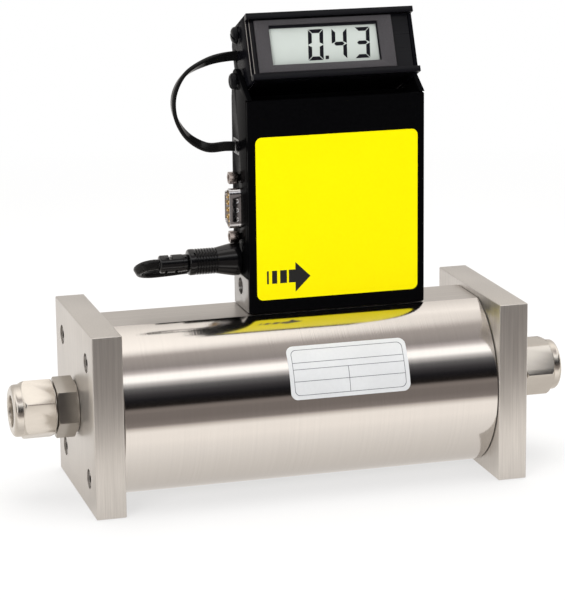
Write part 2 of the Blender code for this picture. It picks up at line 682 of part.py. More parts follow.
def port_plug():
    """Set screw that closes the side hole of the base block."""
    radius = SIDE_HOLE_RADIUS - SEAT_GAP
    top = -PORT_PLUG_RECESS
    profile = [(0, top), (radius, top), (radius, top - PORT_PLUG_LENGTH), (0, top - PORT_PLUG_LENGTH)]
    place = ((HOUSING_LEFT, SIDE_HOLE_Y, FLAT_Z + SIDE_HOLE_HEIGHT), ALONG_MINUS_X)
    plug = add("port_plug", turned("port_plug", profile, 24), plated(), *place)
    recess = prism("plug_socket_cutter", hexagon(SCREW_SOCKET), SCREW_SOCKET_DEPTH + 1 * MM,
                   top - SCREW_SOCKET_DEPTH)
    cut(plug, add("plug_socket_cutter", recess, None, *place))


def sensor():
    """Capillary tube that bridges the two taps, with its two windings."""
    floor = BLOCK_TOP + BLOCK_TONGUE_HEIGHT + SEAT_GAP
    top = floor + SENSOR_RISE
    half = TAP_SPACING / 2
    bend = 2.5 * MM
    path = [(-half, floor)]
    for step in range(5):
        angle = pi - step * pi / 8
        path.append((-half + bend + bend * cos(angle), top - bend + bend * sin(angle)))
    path += [(-x, z) for x, z in reversed(path)]
    sides = 8
    shape = bmesh.new()
    rings = []
    for index, (x, z) in enumerate(path):
        before = path[max(index - 1, 0)]
        after = path[min(index + 1, len(path) - 1)]
        angle = atan2(after[1] - before[1], after[0] - before[0])
        rings.append([
            shape.verts.new((
                HOUSING_X + x - SENSOR_TUBE_RADIUS * cos(turn) * sin(angle),
                SENSOR_TUBE_RADIUS * sin(turn),
                z + SENSOR_TUBE_RADIUS * cos(turn) * cos(angle),
            ))
            for turn in (2 * pi * side / sides for side in range(sides))
        ])
    for one, two in zip(rings, rings[1:]):
        for side in range(sides):
            following = (side + 1) % sides
            shape.faces.new((one[side], one[following], two[following], two[side]))
    shape.faces.new(rings[0])
    shape.faces.new(rings[-1])
    add("sensor_tube", to_mesh("sensor_tube", shape, radians(40)), plated())
    for label, offset in (("upstream", -WINDING_SPACING / 2), ("downstream", WINDING_SPACING / 2)):
        bore = SENSOR_TUBE_RADIUS + SEAT_GAP
        length = WINDING_LENGTH / 2
        profile = [(WINDING_RADIUS, length), (WINDING_RADIUS, -length), (bore, -length), (bore, length)]
        name = f"sensor_winding_{label}"
        add(name, turned(name, profile, 12), material("copper", (0.6, 0.25, 0.1), 0.35, 1.0),
            (HOUSING_X + offset, 0, top), ALONG_X)


def ear_outline():
    """Side outline of the housing shell in Y and Z, with the ear that carries the pivot."""
    step = COVER_TOP + SEAT_GAP
    to_pivot = hypot(PIVOT_Y - HOUSING_FRONT, PIVOT_Z - step)
    rise = atan2(PIVOT_Z - step, PIVOT_Y - HOUSING_FRONT) + asin(EAR_RADIUS / to_pivot)
    back_foot = DECK_TOP + WALL
    to_back = hypot(HOUSING_BACK - PIVOT_Y, PIVOT_Z - back_foot)
    fall = atan2(PIVOT_Z - back_foot, HOUSING_BACK - PIVOT_Y) + asin(EAR_RADIUS / to_back)
    start = pi / 2 + rise
    end = pi / 2 - fall
    steps = 10
    arc = [
        (PIVOT_Y + EAR_RADIUS * cos(start + (end - start) * i / steps),
         PIVOT_Z + EAR_RADIUS * sin(start + (end - start) * i / steps))
        for i in range(steps + 1)
    ]
    return [
        (SHELL_FRONT, SHELL_Z), (SHELL_FRONT, step), (HOUSING_FRONT, step), *arc,
        (HOUSING_BACK, back_foot), (HOUSING_BACK, SHELL_Z),
    ]


def housing_shell():
    shell = add("housing_shell", prism("housing_shell", ear_outline(), HOUSING_WIDTH), black_plastic(),
                (HOUSING_LEFT, 0, 0), PROFILE_ALONG_X)
    margin = 5 * MM
    inside_left = HOUSING_LEFT + WALL
    inside_right = HOUSING_RIGHT - WALL
    cut(shell, add("shell_inside_cutter", block(
        "shell_inside_cutter",
        (inside_left, SHELL_FRONT - margin, SHELL_Z - margin),
        (inside_right, HOUSING_BACK - WALL, DECK_TOP - WALL),
    ), None))
    cut(shell, add("shell_top_cutter", block(
        "shell_top_cutter",
        (inside_left, HOUSING_FRONT - margin, DECK_TOP),
        (inside_right, HOUSING_BACK + margin, PIVOT_Z + EAR_RADIUS + margin),
    ), None))
    bosses = rods("board_boss", board_corners(), BOSS_RADIUS, 0, BOARD_STAND_OFF + WALL / 2, 12)
    join(shell, add("board_boss", bosses, None, (0, HOUSING_BACK - WALL / 2, 0), FACING_FRONT))
    pivots = rods("pivot_hole_cutter", [(0, 0)], SCREW_RADIUS + RUNNING_GAP,
                  -margin, HOUSING_WIDTH + margin, 20)
    cut(shell, add("pivot_hole_cutter", pivots, None, (HOUSING_LEFT, PIVOT_Y, PIVOT_Z), ALONG_X))
    for label, mesh, z in (
        ("d_cutter", prism("d_cutter", d_outline(SEAT_GAP), 4 * WALL, -2 * WALL), BLOCK_Z + D_HEIGHT),
        ("jack_cutter", rods("jack_cutter", [(0, 0)], JACK_NOSE_RADIUS + SEAT_GAP, -2 * WALL, 2 * WALL, 24),
         BLOCK_Z + JACK_HEIGHT),
    ):
        cut(shell, add(label, mesh, None, (HOUSING_LEFT, CONNECTOR_Y, z), FACING_LEFT))
    d_screws = [(0, -D_SCREW_SPACING / 2), (0, D_SCREW_SPACING / 2)]
    screw_holes = rods("d_screw_cutter", d_screws, D_SCREW_SHANK_RADIUS + SCREW_GAP, -2 * WALL, 2 * WALL, 12)
    cut(shell, add("d_screw_cutter", screw_holes, None,
                   (HOUSING_LEFT, CONNECTOR_Y, BLOCK_Z + D_HEIGHT), FACING_LEFT))
    opening = prism("socket_opening_cutter", [
        (x * (SOCKET_WIDTH / 2 + SEAT_GAP), y * (SOCKET_TALL / 2 + SEAT_GAP))
        for x, y in ((-1, -1), (1, -1), (1, 1), (-1, 1))
    ], 4 * WALL, -2 * WALL)
    cut(shell, add("socket_opening_cutter", opening, None,
                   (HOUSING_LEFT, SOCKET_Y, BLOCK_Z + SOCKET_HEIGHT), FACING_LEFT))


def board_corners():
    x = BOARD_WIDTH / 2 - 2 * BOSS_RADIUS
    bottom = BLOCK_Z + BOARD_BOTTOM + 2 * BOSS_RADIUS
    top = BLOCK_Z + BOARD_BOTTOM + BOARD_HEIGHT - 2 * BOSS_RADIUS
    return [(HOUSING_X + side * x, z) for side in (-1, 1) for z in (bottom, top)]


def front_cover():
    cover = add("front_cover", block(
        "front_cover",
        (HOUSING_LEFT, HOUSING_FRONT, BLOCK_Z), (HOUSING_RIGHT, COVER_BACK, COVER_TOP),
    ), black_plastic())
    soften(cover, COVER_EDGE, 2)
    inset = WALL + SEAT_GAP
    overlap = 0.5 * MM
    outer_left, outer_right = HOUSING_LEFT + inset, HOUSING_RIGHT - inset
    rim_bottom, rim_top = SHELL_Z + BLOCK_TONGUE_HEIGHT, DECK_TOP - inset
    rim = add("cover_rim", block(
        "cover_rim",
        (outer_left, COVER_BACK - overlap, rim_bottom), (outer_right, COVER_BACK + COVER_RIM_DEPTH, rim_top),
    ), None)
    cut(rim, add("rim_inside_cutter", block(
        "rim_inside_cutter",
        (outer_left + COVER_RIM_THICKNESS, HOUSING_FRONT, rim_bottom + COVER_RIM_THICKNESS),
        (outer_right - COVER_RIM_THICKNESS, HOUSING_BACK, rim_top - COVER_RIM_THICKNESS),
    ), None))
    join(cover, rim)


def circuit_board():
    front = HOUSING_BACK - WALL - BOARD_STAND_OFF - SEAT_GAP - BOARD_THICKNESS
    low = (HOUSING_X - BOARD_WIDTH / 2, front, BLOCK_Z + BOARD_BOTTOM)
    high = (HOUSING_X + BOARD_WIDTH / 2, front + BOARD_THICKNESS, BLOCK_Z + BOARD_BOTTOM + BOARD_HEIGHT)
    board = add("circuit_board", block("circuit_board", low, high),
                material("board_green", (0.02, 0.18, 0.08), 0.45))
    for x, z, width, height, depth in (
        (7, 3, 9, 4, 1.5), (19, 4, 4, 4, 3), (9, 12, 5, 3, 1), (19, 13, 3.5, 3.5, 2.5),
    ):
        corner = (low[0] + x * BOARD_GRID, front - depth * BOARD_GRID, low[2] + z * BOARD_GRID)
        far = (
            corner[0] + width * BOARD_GRID, front + BOARD_THICKNESS / 2, corner[2] + height * BOARD_GRID,
        )
        join(board, add("component", block("component", corner, far), None))


def d_outline(grow=0.0):
    """Outline of the D connector's shell: a tall trapezium with round corners, wide side to the front.

    Its X is across the housing's side and its Y is up.
    """
    half_width = D_SHELL_WIDTH / 2 + grow
    corner = D_SHELL_CORNER + grow
    lean = D_SHELL_WIDTH / 2 * sin(D_SHELL_SLOPE)
    long_half = D_SHELL_LENGTH / 2 + grow
    short_half = long_half - 2 * lean
    centres = [
        (half_width - corner, long_half - corner, -D_SHELL_SLOPE, pi / 2),
        (corner - half_width, short_half - corner, pi / 2 - D_SHELL_SLOPE, pi),
        (corner - half_width, corner - short_half, pi, 3 * pi / 2 + D_SHELL_SLOPE),
        (half_width - corner, corner - long_half, 3 * pi / 2, 2 * pi + D_SHELL_SLOPE),
    ]
    steps = 4
    points = []
    for x, y, start, end in centres:
        start = max(start, 0.0) if start < 0 else start
        for step in range(steps + 1):
            angle = start + (min(end, 2 * pi) - start) * step / steps
            points.append((x + corner * cos(angle), y + corner * sin(angle)))
    return points


def d_connector():
    place = ((HOUSING_LEFT, CONNECTOR_Y, BLOCK_Z + D_HEIGHT), FACING_LEFT)
    flange_top = -WALL - SEAT_GAP
    flange = rounded(D_FLANGE_WIDTH, D_FLANGE_LENGTH, 1.5 * MM, 3)
    shell = add("d_connector_shell", prism("d_connector_shell", flange, D_FLANGE_THICKNESS,
                                           flange_top - D_FLANGE_THICKNESS), plated(), *place)
    overlap = D_FLANGE_THICKNESS / 2
    nose = prism("d_nose", d_outline(), D_SHELL_REACH - flange_top + overlap, flange_top - overlap)
    join(shell, add("d_nose", nose, None, *place))
    margin = 2 * MM
    inside = prism("d_inside_cutter", d_outline(-D_SHELL_WALL), D_SHELL_REACH - flange_top + 2 * margin,
                   flange_top - margin)
    cut(shell, add("d_inside_cutter", inside, None, *place))
    centres = [(0, -D_SCREW_SPACING / 2), (0, D_SCREW_SPACING / 2)]
    holes = rods("flange_hole_cutter", centres, D_SCREW_SHANK_RADIUS + SCREW_GAP,
                 flange_top - margin, flange_top + margin, 12)
    cut(shell, add("flange_hole_cutter", holes, None, *place))

    back = flange_top - D_FLANGE_THICKNESS - 5 * MM
    face = D_SHELL_REACH - D_PIN_LENGTH - 0.4 * MM
    insulator = add("d_connector_contacts", prism(
        "d_connector_contacts", d_outline(-D_SHELL_WALL - SEAT_GAP), face - back, back,
    ), material("amber_plastic", (0.55, 0.32, 0.08), 0.4), *place)
    pins = []
    for row, count in ((0.5, 5), (-0.5, 4)):
        pins += [(row * D_ROW_PITCH, (index - (count - 1) / 2) * D_PIN_PITCH) for index in range(count)]
    join(insulator, add("pins", rods("pins", pins, D_PIN_RADIUS, face - 1 * MM, face + D_PIN_LENGTH, 8),
                        None, *place))

    for label, y in (("lower", -D_SCREW_SPACING / 2), ("upper", D_SCREW_SPACING / 2)):
        jackscrew(f"d_jackscrew_{label}", y)


def jackscrew(name, offset):
    """Hexagonal standoff screw that clamps the D connector."""
    place = ((HOUSING_LEFT, CONNECTOR_Y, BLOCK_Z + D_HEIGHT + offset), FACING_LEFT)
    foot = SEAT_GAP
    end = -WALL - D_FLANGE_THICKNESS - 3 * MM
    screw = add(name, prism(name, hexagon(D_SCREW_SIDE_TO_SIDE), D_SCREW_LENGTH, foot), plated(), *place)
    shank = rods("jackscrew_shank", [(0, 0)], D_SCREW_SHANK_RADIUS, end, foot + 1 * MM, 12)
    join(screw, add("jackscrew_shank", shank, None, *place))
    bore = rods("jackscrew_bore_cutter", [(0, 0)], D_SCREW_SHANK_RADIUS,
                foot + 1.5 * MM, D_SCREW_LENGTH + 2 * MM, 12)
    cut(screw, add("jackscrew_bore_cutter", bore, None, *place))


def power_jack():
    place = ((HOUSING_LEFT, CONNECTOR_Y, BLOCK_Z + JACK_HEIGHT), FACING_LEFT)
    shoulder = -WALL - SEAT_GAP
    back = shoulder - JACK_LENGTH
    floor = -JACK_BORE_DEPTH
    profile = [
        (0, -1.2 * MM), (JACK_PIN_RADIUS, -1.6 * MM), (JACK_PIN_RADIUS, floor), (JACK_BORE_RADIUS, floor),
        (JACK_BORE_RADIUS, 0), (JACK_NOSE_RADIUS, 0), (JACK_NOSE_RADIUS, shoulder), (JACK_RADIUS, shoulder),
        (JACK_RADIUS, back), (0, back),
    ]
    add("power_jack", turned("power_jack", profile, 24), black_plastic(), *place)


def lead_socket():
    """Socket in the housing's side for the display lead, and the plug in it."""
    place = ((HOUSING_LEFT, SOCKET_Y, BLOCK_Z + SOCKET_HEIGHT), FACING_LEFT)
    shoulder = -WALL - SEAT_GAP
    outer = rounded(SOCKET_WIDTH, SOCKET_TALL, 0.4 * MM, 1)
    socket = add("lead_socket", prism("lead_socket", outer, SOCKET_DEPTH, -SOCKET_DEPTH), black_plastic(), *place)
    flange = rounded(SOCKET_WIDTH - 0.4 * MM, SOCKET_TALL + 2.4 * MM, 0.4 * MM, 1)
    join(socket, add("socket_flange", prism("socket_flange", flange, 1 * MM, shoulder - 1 * MM), None, *place))
    inside = rounded(SOCKET_WIDTH - 2 * SOCKET_WALL, SOCKET_TALL - 2 * SOCKET_WALL, 0.4 * MM, 1)
    cut(socket, add("socket_inside_cutter", prism(
        "socket_inside_cutter", inside, SOCKET_DEPTH, SOCKET_WALL - SOCKET_DEPTH), None, *place))
    width = SOCKET_WIDTH - 2 * SOCKET_WALL - 2 * SEAT_GAP
    tall = SOCKET_TALL - 2 * SOCKET_WALL - 2 * SEAT_GAP
    start = SOCKET_WALL - SOCKET_DEPTH + SEAT_GAP
    plug = rounded(width, tall, 0.4 * MM, 1)
    add("lead_plug", prism("lead_plug", plug, LEAD_PLUG_LENGTH, start), black_plastic(), *place)


def lead_route(head):
    """Middle line of the display lead from inside the head to its plug, with its width's turn."""
    start = head.matrix_basis @ Vector((CASE_LEFT + LEAD_INSIDE, LEAD_BACK, LEAD_UP))
    plug_face = LEAD_PLUG_LENGTH - (SOCKET_DEPTH - SOCKET_WALL) + SEAT_GAP
    end = Vector((HOUSING_LEFT - plug_face - SEAT_GAP, SOCKET_Y, BLOCK_Z + SOCKET_HEIGHT))
    points = [
        start,
        start + Vector((-7.5, 0.0, 0.3)) * MM,
        start + Vector((-16.9, -0.74, -1.3)) * MM,
        start + Vector((-26.5, -1.74, -5.9)) * MM,
        start + Vector((-31.5, -2.54, -14.0)) * MM,
        end + Vector((-24.6, 2.4, 13.5)) * MM,
        end + Vector((-19.9, 1.6, 5.2)) * MM,
        end + Vector((-12.0, 0.8, 0.2)) * MM,
        end + Vector((-4.0, 0.2, 0.2)) * MM,
        end,
    ]
    return points


def smooth_curve(points, per_span):
    """Catmull-Rom curve through the points."""
    padded = [2 * points[0] - points[1], *points, 2 * points[-1] - points[-2]]
    found = []
    for index in range(1, len(padded) - 2):
        a, b, c, d = padded[index - 1:index + 3]
        for step in range(per_span):
            t = step / per_span
            found.append(0.5 * (
                2 * b + (c - a) * t + (2 * a - 5 * b + 4 * c - d) * t ** 2
                + (3 * b - a - 3 * c + d) * t ** 3
            ))
    found.append(points[-1])
    return found


def display_lead(head):
    """Flat lead: its width stands upright at both ends and lies across in the loop."""
    path = smooth_curve(lead_route(head), 3)
    shape = bmesh.new()
    rings = []
    sides = 8
    for index, centre in enumerate(path):
        along = (path[min(index + 1, len(path) - 1)] - path[max(index - 1, 0)]).normalized()
        across = Vector((0, 1, 0))
        across = (across - along * across.dot(along)).normalized()
        upright = along.cross(across)
        share = index / (len(path) - 1)
        turn = pi / 2 * (1 - sin(pi * share) ** 2)
        wide = across * cos(turn) + upright * sin(turn)
        thin = along.cross(wide)
        rings.append([
            shape.verts.new(centre + wide * LEAD_WIDTH / 2 * cos(angle) + thin * LEAD_THICKNESS / 2 * sin(angle))
            for angle in (2 * pi * side / sides for side in range(sides))
        ])
    for one, two in zip(rings, rings[1:]):
        for side in range(sides):
            following = (side + 1) % sides
            shape.faces.new((one[side], one[following], two[following], two[side]))
    shape.faces.new(rings[0])
    shape.faces.new(rings[-1])
    add("display_lead", to_mesh("display_lead", shape, radians(50)), rubber())


def power_plug():
    place = ((HOUSING_LEFT - SEAT_GAP, CONNECTOR_Y, BLOCK_Z + JACK_HEIGHT), ALONG_MINUS_X)
    taper_end = PLUG_STRAIGHT + PLUG_TAPER
    grip_end = taper_end + PLUG_GRIP_LENGTH
    rib = PLUG_GRIP_LENGTH * 0.72 / PLUG_RIBS
    ribs = []
    for index in range(PLUG_RIBS):
        start = taper_end + index * rib
        ribs += [
            (PLUG_GRIP_RADIUS, start + 0.1 * rib), (PLUG_GRIP_RADIUS, start + 0.5 * rib),
            (PLUG_GRIP_RADIUS - PLUG_RIB_DEPTH, start + 0.6 * rib),
            (PLUG_GRIP_RADIUS - PLUG_RIB_DEPTH, start + rib),
        ]
    edge = 0.8 * MM
    profile = [
        (0, -PLUG_BARREL_LENGTH), (PLUG_BARREL_RADIUS, -PLUG_BARREL_LENGTH), (PLUG_BARREL_RADIUS, 0),
        (PLUG_RADIUS - edge / 2, 0), (PLUG_RADIUS, edge / 2), (PLUG_RADIUS, PLUG_STRAIGHT),
        *ribs,
        (PLUG_GRIP_RADIUS, taper_end + PLUG_RIBS * rib + 0.1 * rib), (PLUG_GRIP_RADIUS, grip_end - edge),
        (PLUG_GRIP_RADIUS - edge, grip_end), (0, grip_end),
    ]
    plug = add("power_plug", turned("power_plug", list(reversed(profile)), 16), black_plastic(), *place)
    hollow = rods("plug_pin_cutter", [(0, 0)], JACK_PIN_RADIUS + SEAT_GAP,
                  -PLUG_BARREL_LENGTH - 2 * MM, 0, 12)
    cut(plug, add("plug_pin_cutter", hollow, None, *place))

    start = grip_end + SEAT_GAP
    profile = [(0, start), (RELIEF_RADIUS, start)]
    notch_pitch = (RELIEF_LENGTH - RELIEF_NECK_LENGTH) / (RELIEF_NOTCHES + 1)
    for index in range(RELIEF_NOTCHES):
        at = start + RELIEF_NECK_LENGTH + (index + 1) * notch_pitch - RELIEF_NOTCH_WIDTH
        profile += [
            (RELIEF_RADIUS, at), (RELIEF_RADIUS - RELIEF_NOTCH_DEPTH, at + 0.1 * MM),
            (RELIEF_RADIUS - RELIEF_NOTCH_DEPTH, at + RELIEF_NOTCH_WIDTH - 0.1 * MM),
            (RELIEF_RADIUS, at + RELIEF_NOTCH_WIDTH),
        ]
    end = start + RELIEF_LENGTH
    profile += [(RELIEF_RADIUS, end - edge), (RELIEF_END_RADIUS, end), (0, end)]
    add("plug_strain_relief", turned("plug_strain_relief", list(reversed(profile)), 16), rubber(), *place)
    return HOUSING_LEFT - SEAT_GAP - end


def power_cord(relief_end):
    """Twin cord from the plug to the coil, the coil, and the end that runs to the adapter."""
    radius = CORD_DIAMETER / 2
    coil_outer = COIL_MEAN_RADIUS + COIL_TURNS_WIDE * radius
    coil_inner = COIL_MEAN_RADIUS - COIL_TURNS_WIDE * radius
    coil_top = COIL_TURNS_HIGH * CORD_DIAMETER
    exit_point = Vector((relief_end - SEAT_GAP, CONNECTOR_Y, BLOCK_Z + JACK_HEIGHT))
    middle = Vector((COIL_X, COIL_Y, 0))
    reach = coil_outer + radius + SEAT_GAP
    cord_tube("power_cord", smooth_curve([
        exit_point,
        exit_point + Vector((-2.4, 0.0, 0.0)) * MM,
        exit_point + Vector((-5.7, 1.7, -1.0)) * MM,
        exit_point + Vector((-7.3, 5.6, -3.2)) * MM,
        exit_point + Vector((-5.6, 9.7, -5.2)) * MM,
        exit_point + Vector((-0.9, 12.2, -6.3)) * MM,
        exit_point + Vector((6.8, 13.0, -6.3)) * MM,
        Vector((-41.0, 17.4, 88.6)) * MM,
        Vector((-32.0, 17.4, 89.0)) * MM,
        Vector((-22.5, 17.0, 88.6)) * MM,
        Vector((-13.5, 17.0, 86.2)) * MM,
        Vector((-6.5, 19.6, 80.4)) * MM,
        Vector((-1.8, 25.4, 72.4)) * MM,
        Vector((0.6, 32.8, 63.0)) * MM,
        Vector((2.0, 38.6, 52.0)) * MM,
        Vector((2.8, 41.4, 40.0)) * MM,
        Vector((2.8, 42.0, 28.0)) * MM,
        Vector((1.4, 42.8, 17.0)) * MM,
        Vector((-2.4, 44.8, 8.2)) * MM,
        Vector((-8.4, 47.6, 3.4)) * MM,
        middle + Vector((3.4 * MM, 0.7 * MM - reach, radius + SEAT_GAP)),
    ], 4), radius)
    edge = 0.6 * radius
    coil = turned("power_cord_coil", [
        (coil_outer, edge), (coil_outer - edge, 0), (coil_inner + edge, 0), (coil_inner, edge),
        (coil_inner, coil_top - edge), (coil_inner + edge, coil_top), (coil_outer - edge, coil_top),
        (coil_outer, coil_top - edge),
    ], 32)
    add("power_cord_coil", coil, rubber(), middle)

    adapter_end = Vector((ADAPTER_X, ADAPTER_Y + ADAPTER_LENGTH / 2 + SEAT_GAP, ADAPTER_HEIGHT / 2))
    cord_tube("power_cord_end", smooth_curve([
        middle + Vector((8.2 * MM, reach - 1.3 * MM, coil_top - radius)),
        middle + Vector((16.0 * MM, reach + 1.5 * MM, 12.4 * MM)),
        middle + Vector((26.0 * MM, reach + 5.5 * MM, 9.0 * MM)),
        middle + Vector((37.0 * MM, reach + 10.0 * MM, 7.4 * MM)),
        adapter_end + Vector((-8.5, 12.4, -5.6)) * MM,
        adapter_end + Vector((-1.2, 9.4, -2.6)) * MM,
        adapter_end + Vector((0.0, 4.6, -0.6)) * MM,
        adapter_end,
    ], 3), radius)
    power_adapter()


def cord_tube(name, points, radius):
    curve = bpy.data.curves.new(name, "CURVE")
    curve.dimensions = "3D"
    curve.bevel_depth = radius
    curve.bevel_resolution = 2
    curve.use_fill_caps = True
    line = curve.splines.new("POLY")
    line.points.add(len(points) - 1)
    for point, place in zip(line.points, points):
        point.co = (*place, 1.0)
    add(name, curve, rubber())


def power_adapter():
    """Plug-in supply, lying on its side behind the tube, with its blades to the front."""
    half = Vector((ADAPTER_WIDTH / 2, ADAPTER_LENGTH / 2, 0))
    low = Vector((ADAPTER_X, ADAPTER_Y, 0)) - half
    high = Vector((ADAPTER_X, ADAPTER_Y, ADAPTER_HEIGHT)) + half
    adapter = add("power_adapter", block("power_adapter", low, high), black_plastic())
    soften(adapter, ADAPTER_EDGE, 3)
    middle = ADAPTER_HEIGHT / 2
    for label, side in (("blade_a", -1), ("blade_b", 1)):
        x = ADAPTER_X + side * BLADE_SPACING / 2
        join(adapter, add(label, block(
            label,
            (x - BLADE_THICKNESS / 2, low[1] - BLADE_LENGTH, middle - BLADE_WIDTH / 2),
            (x + BLADE_THICKNESS / 2, low[1] + 2 * MM, middle + BLADE_WIDTH / 2),
        ), None))


def display_pivot():
    """Empty on the hinge axis; its own Y is back and its Z is up along the display's face."""
    head = bpy.data.objects.new("display_pivot", None)
    head.location = (0, PIVOT_Y, PIVOT_Z)
    head.rotation_euler = (-LEAN, 0, 0)
    bpy.context.scene.collection.objects.link(head)
    return head


def case_outline(front, grow=0.0):
    """Side outline of the display case, behind its lips."""
    chamfer = CASE_CHAMFER + grow * 0.6
    return [
        (front, CASE_BOTTOM - grow), (CASE_BACK + grow, CASE_BOTTOM - grow),
        (CASE_BACK + grow, CASE_TOP + grow - 1.6 * chamfer), (CASE_BACK + grow - chamfer, CASE_TOP + grow),
        (front, CASE_TOP + grow),
    ]


def display_case(head):
    body_length = CASE_LENGTH - 2 * (CHEEK_THICKNESS + SEAT_GAP)
    body_left = CASE_LEFT + CHEEK_THICKNESS + SEAT_GAP
    case = add("display_case", prism("display_case", case_outline(CASE_FACE), body_length), black_metal(),
               (body_left, 0, 0), PROFILE_ALONG_X, head)
    overlap = 1 * MM
    for label, low in (("lower_lip", CASE_BOTTOM), ("upper_lip", CASE_TOP - LIP_THICKNESS)):
        join(case, add(label, block(
            label,
            (CASE_LEFT, LIP_FRONT, low),
            (CASE_LEFT + CASE_LENGTH, CASE_FACE - SEAT_GAP, low + LIP_THICKNESS),
        ), None, parent=head))
        join(case, add(f"{label}_root", block(
            f"{label}_root",
            (body_left, CASE_FACE - LIP_REACH / 2, low),
            (body_left + body_length, CASE_FACE + overlap, low + LIP_THICKNESS),
        ), None, parent=head))
    margin = 4 * MM
    cut(case, add("case_inside_cutter", prism(
        "case_inside_cutter", case_outline(CASE_FACE + CASE_WALL, -CASE_WALL), body_length + 2 * margin,
    ), None, (body_left - margin, 0, 0), PROFILE_ALONG_X, head))
    boss = rods("cheek_screw_boss", [(0, 0)], CHEEK_SCREW_BOSS_RADIUS, 0, body_length, 14)
    case_boss = add("cheek_screw_boss", boss, None,
                    (body_left, CHEEK_SCREW_BACK, CHEEK_SCREW_UP), ALONG_X, head)
    join(case, case_boss)
    drill = rods("boss_cutter", [(0, 0)], CHEEK_SCREW_RADIUS + SCREW_GAP, -margin, body_length + margin, 12)
    cut(case, add("boss_cutter", drill, None, (body_left, CHEEK_SCREW_BACK, CHEEK_SCREW_UP), ALONG_X, head))
    grow = SEAT_GAP
    low, high = bezel_body()
    cut(case, add("bezel_hole_cutter", block(
        "bezel_hole_cutter",
        (low[0] - grow, CASE_FACE - overlap, low[2] - grow),
        (high[0] + grow, CASE_FACE + CASE_WALL + overlap, high[2] + grow),
    ), None, parent=head))


def bezel_corner():
    """Lower left corner of the bezel's flange."""
    channel = CASE_HEIGHT - 2 * LIP_THICKNESS
    return CASE_LEFT + BEZEL_LEFT, CASE_BOTTOM + LIP_THICKNESS + (channel - BEZEL_HEIGHT) / 2


def bezel_body():
    x, z = bezel_corner()
    front = CASE_FACE - SEAT_GAP
    low = (x + BEZEL_BODY_INSET, front, z + BEZEL_BODY_INSET)
    high = (x + BEZEL_LENGTH - BEZEL_BODY_INSET, front + BEZEL_BODY_DEPTH, z + BEZEL_HEIGHT - BEZEL_BODY_INSET)
    return low, high


def display_module(head):
    x, z = bezel_corner()
    back = CASE_FACE - SEAT_GAP
    front = back - BEZEL_FLANGE
    bezel = add("display_bezel", block(
        "display_bezel", (x, front, z), (x + BEZEL_LENGTH, back, z + BEZEL_HEIGHT),
    ), material("bezel_grey", (0.12, 0.115, 0.125), 0.55), parent=head)
    soften(bezel, 0.3 * MM)
    low, high = bezel_body()
    join(bezel, add("bezel_body", block("bezel_body", (low[0], back - 0.5 * MM, low[2]), high), None, parent=head))
    window = (x + WINDOW_LEFT, z + (BEZEL_HEIGHT - WINDOW_HEIGHT) / 2)
    margin = 1 * MM
    cut(bezel, add("window_cutter", block(
        "window_cutter", (window[0], front - margin, window[1]),
        (window[0] + WINDOW_LENGTH, back + margin, window[1] + WINDOW_HEIGHT),
    ), None, parent=head))
    pocket = front + WINDOW_DEPTH
    wall = 1.0 * MM
    cut(bezel, add("bezel_pocket_cutter", block(
        "bezel_pocket_cutter", (low[0] + wall, pocket, low[2] + wall), (high[0] - wall, high[1] + margin, high[2] - wall),
    ), None, parent=head))
    glass_low = (low[0] + wall + SEAT_GAP, pocket + SEAT_GAP, low[2] + wall + SEAT_GAP)
    glass_high = (high[0] - wall - SEAT_GAP, pocket + SEAT_GAP + GLASS_THICKNESS, high[2] - wall - SEAT_GAP)
    add("display_glass", block("display_glass", glass_low, glass_high),
        material("lcd_glass", (0.72, 0.76, 0.72), 0.25), parent=head)
    board_front = glass_high[1] + SEAT_GAP
    add("display_board", block(
        "display_board", (glass_low[0], board_front, glass_low[2]),
        (glass_high[0], board_front + DISPLAY_BOARD_THICKNESS, glass_high[2]),
    ), material("board_green", (0.02, 0.18, 0.08), 0.45), parent=head)


def display_cheek(name, side, head):
    """End plate of the display case with the boss that the pivot screw threads into."""
    left = CASE_LEFT if side < 0 else CASE_LEFT + CASE_LENGTH - CHEEK_THICKNESS
    outline = case_outline(CASE_FACE)
    cheek = add(name, prism(name, outline, CHEEK_THICKNESS), black_metal(), (left, 0, 0), PROFILE_ALONG_X, head)
    inner = left + CHEEK_THICKNESS if side < 0 else left
    overlap = CHEEK_THICKNESS / 2
    start = inner - overlap if side < 0 else inner + overlap
    ends = sorted((start, inner - side * CHEEK_BOSS_LENGTH))
    boss = rods("pivot_boss", [(0, 0)], boss_radius(), 0, ends[1] - ends[0], 18)
    join(cheek, add("pivot_boss", boss, None, (ends[0], 0, 0), ALONG_X, head))
    margin = 8 * MM
    for label, radius, back, up in (
        ("pivot_thread_cutter", SCREW_RADIUS + SCREW_GAP, 0, 0),
        ("cheek_screw_cutter", CHEEK_SCREW_RADIUS + SCREW_GAP, CHEEK_SCREW_BACK, CHEEK_SCREW_UP),
    ):
        drill = rods(label, [(0, 0)], radius, -margin, margin, 12)
        cut(cheek, add(label, drill, None, (left, back, up), ALONG_X, head))
    if side < 0:
        slot = block("lead_slot_cutter",
                     (-margin, -LEAD_THICKNESS / 2 - SEAT_GAP, -LEAD_WIDTH / 2 - SEAT_GAP),
                     (margin, LEAD_THICKNESS / 2 + SEAT_GAP, LEAD_WIDTH / 2 + SEAT_GAP))
        cut(cheek, add("lead_slot_cutter", slot, None, (left, LEAD_BACK, LEAD_UP), (LEAN, 0, 0), head))


def boss_radius():
    """The pivot boss stays inside the case's lower wall."""
    room = -CASE_BOTTOM - CASE_WALL - SEAT_GAP
    return max(min(CHEEK_BOSS_RADIUS, room), SCREW_RADIUS + SCREW_GAP + 0.5 * MM)


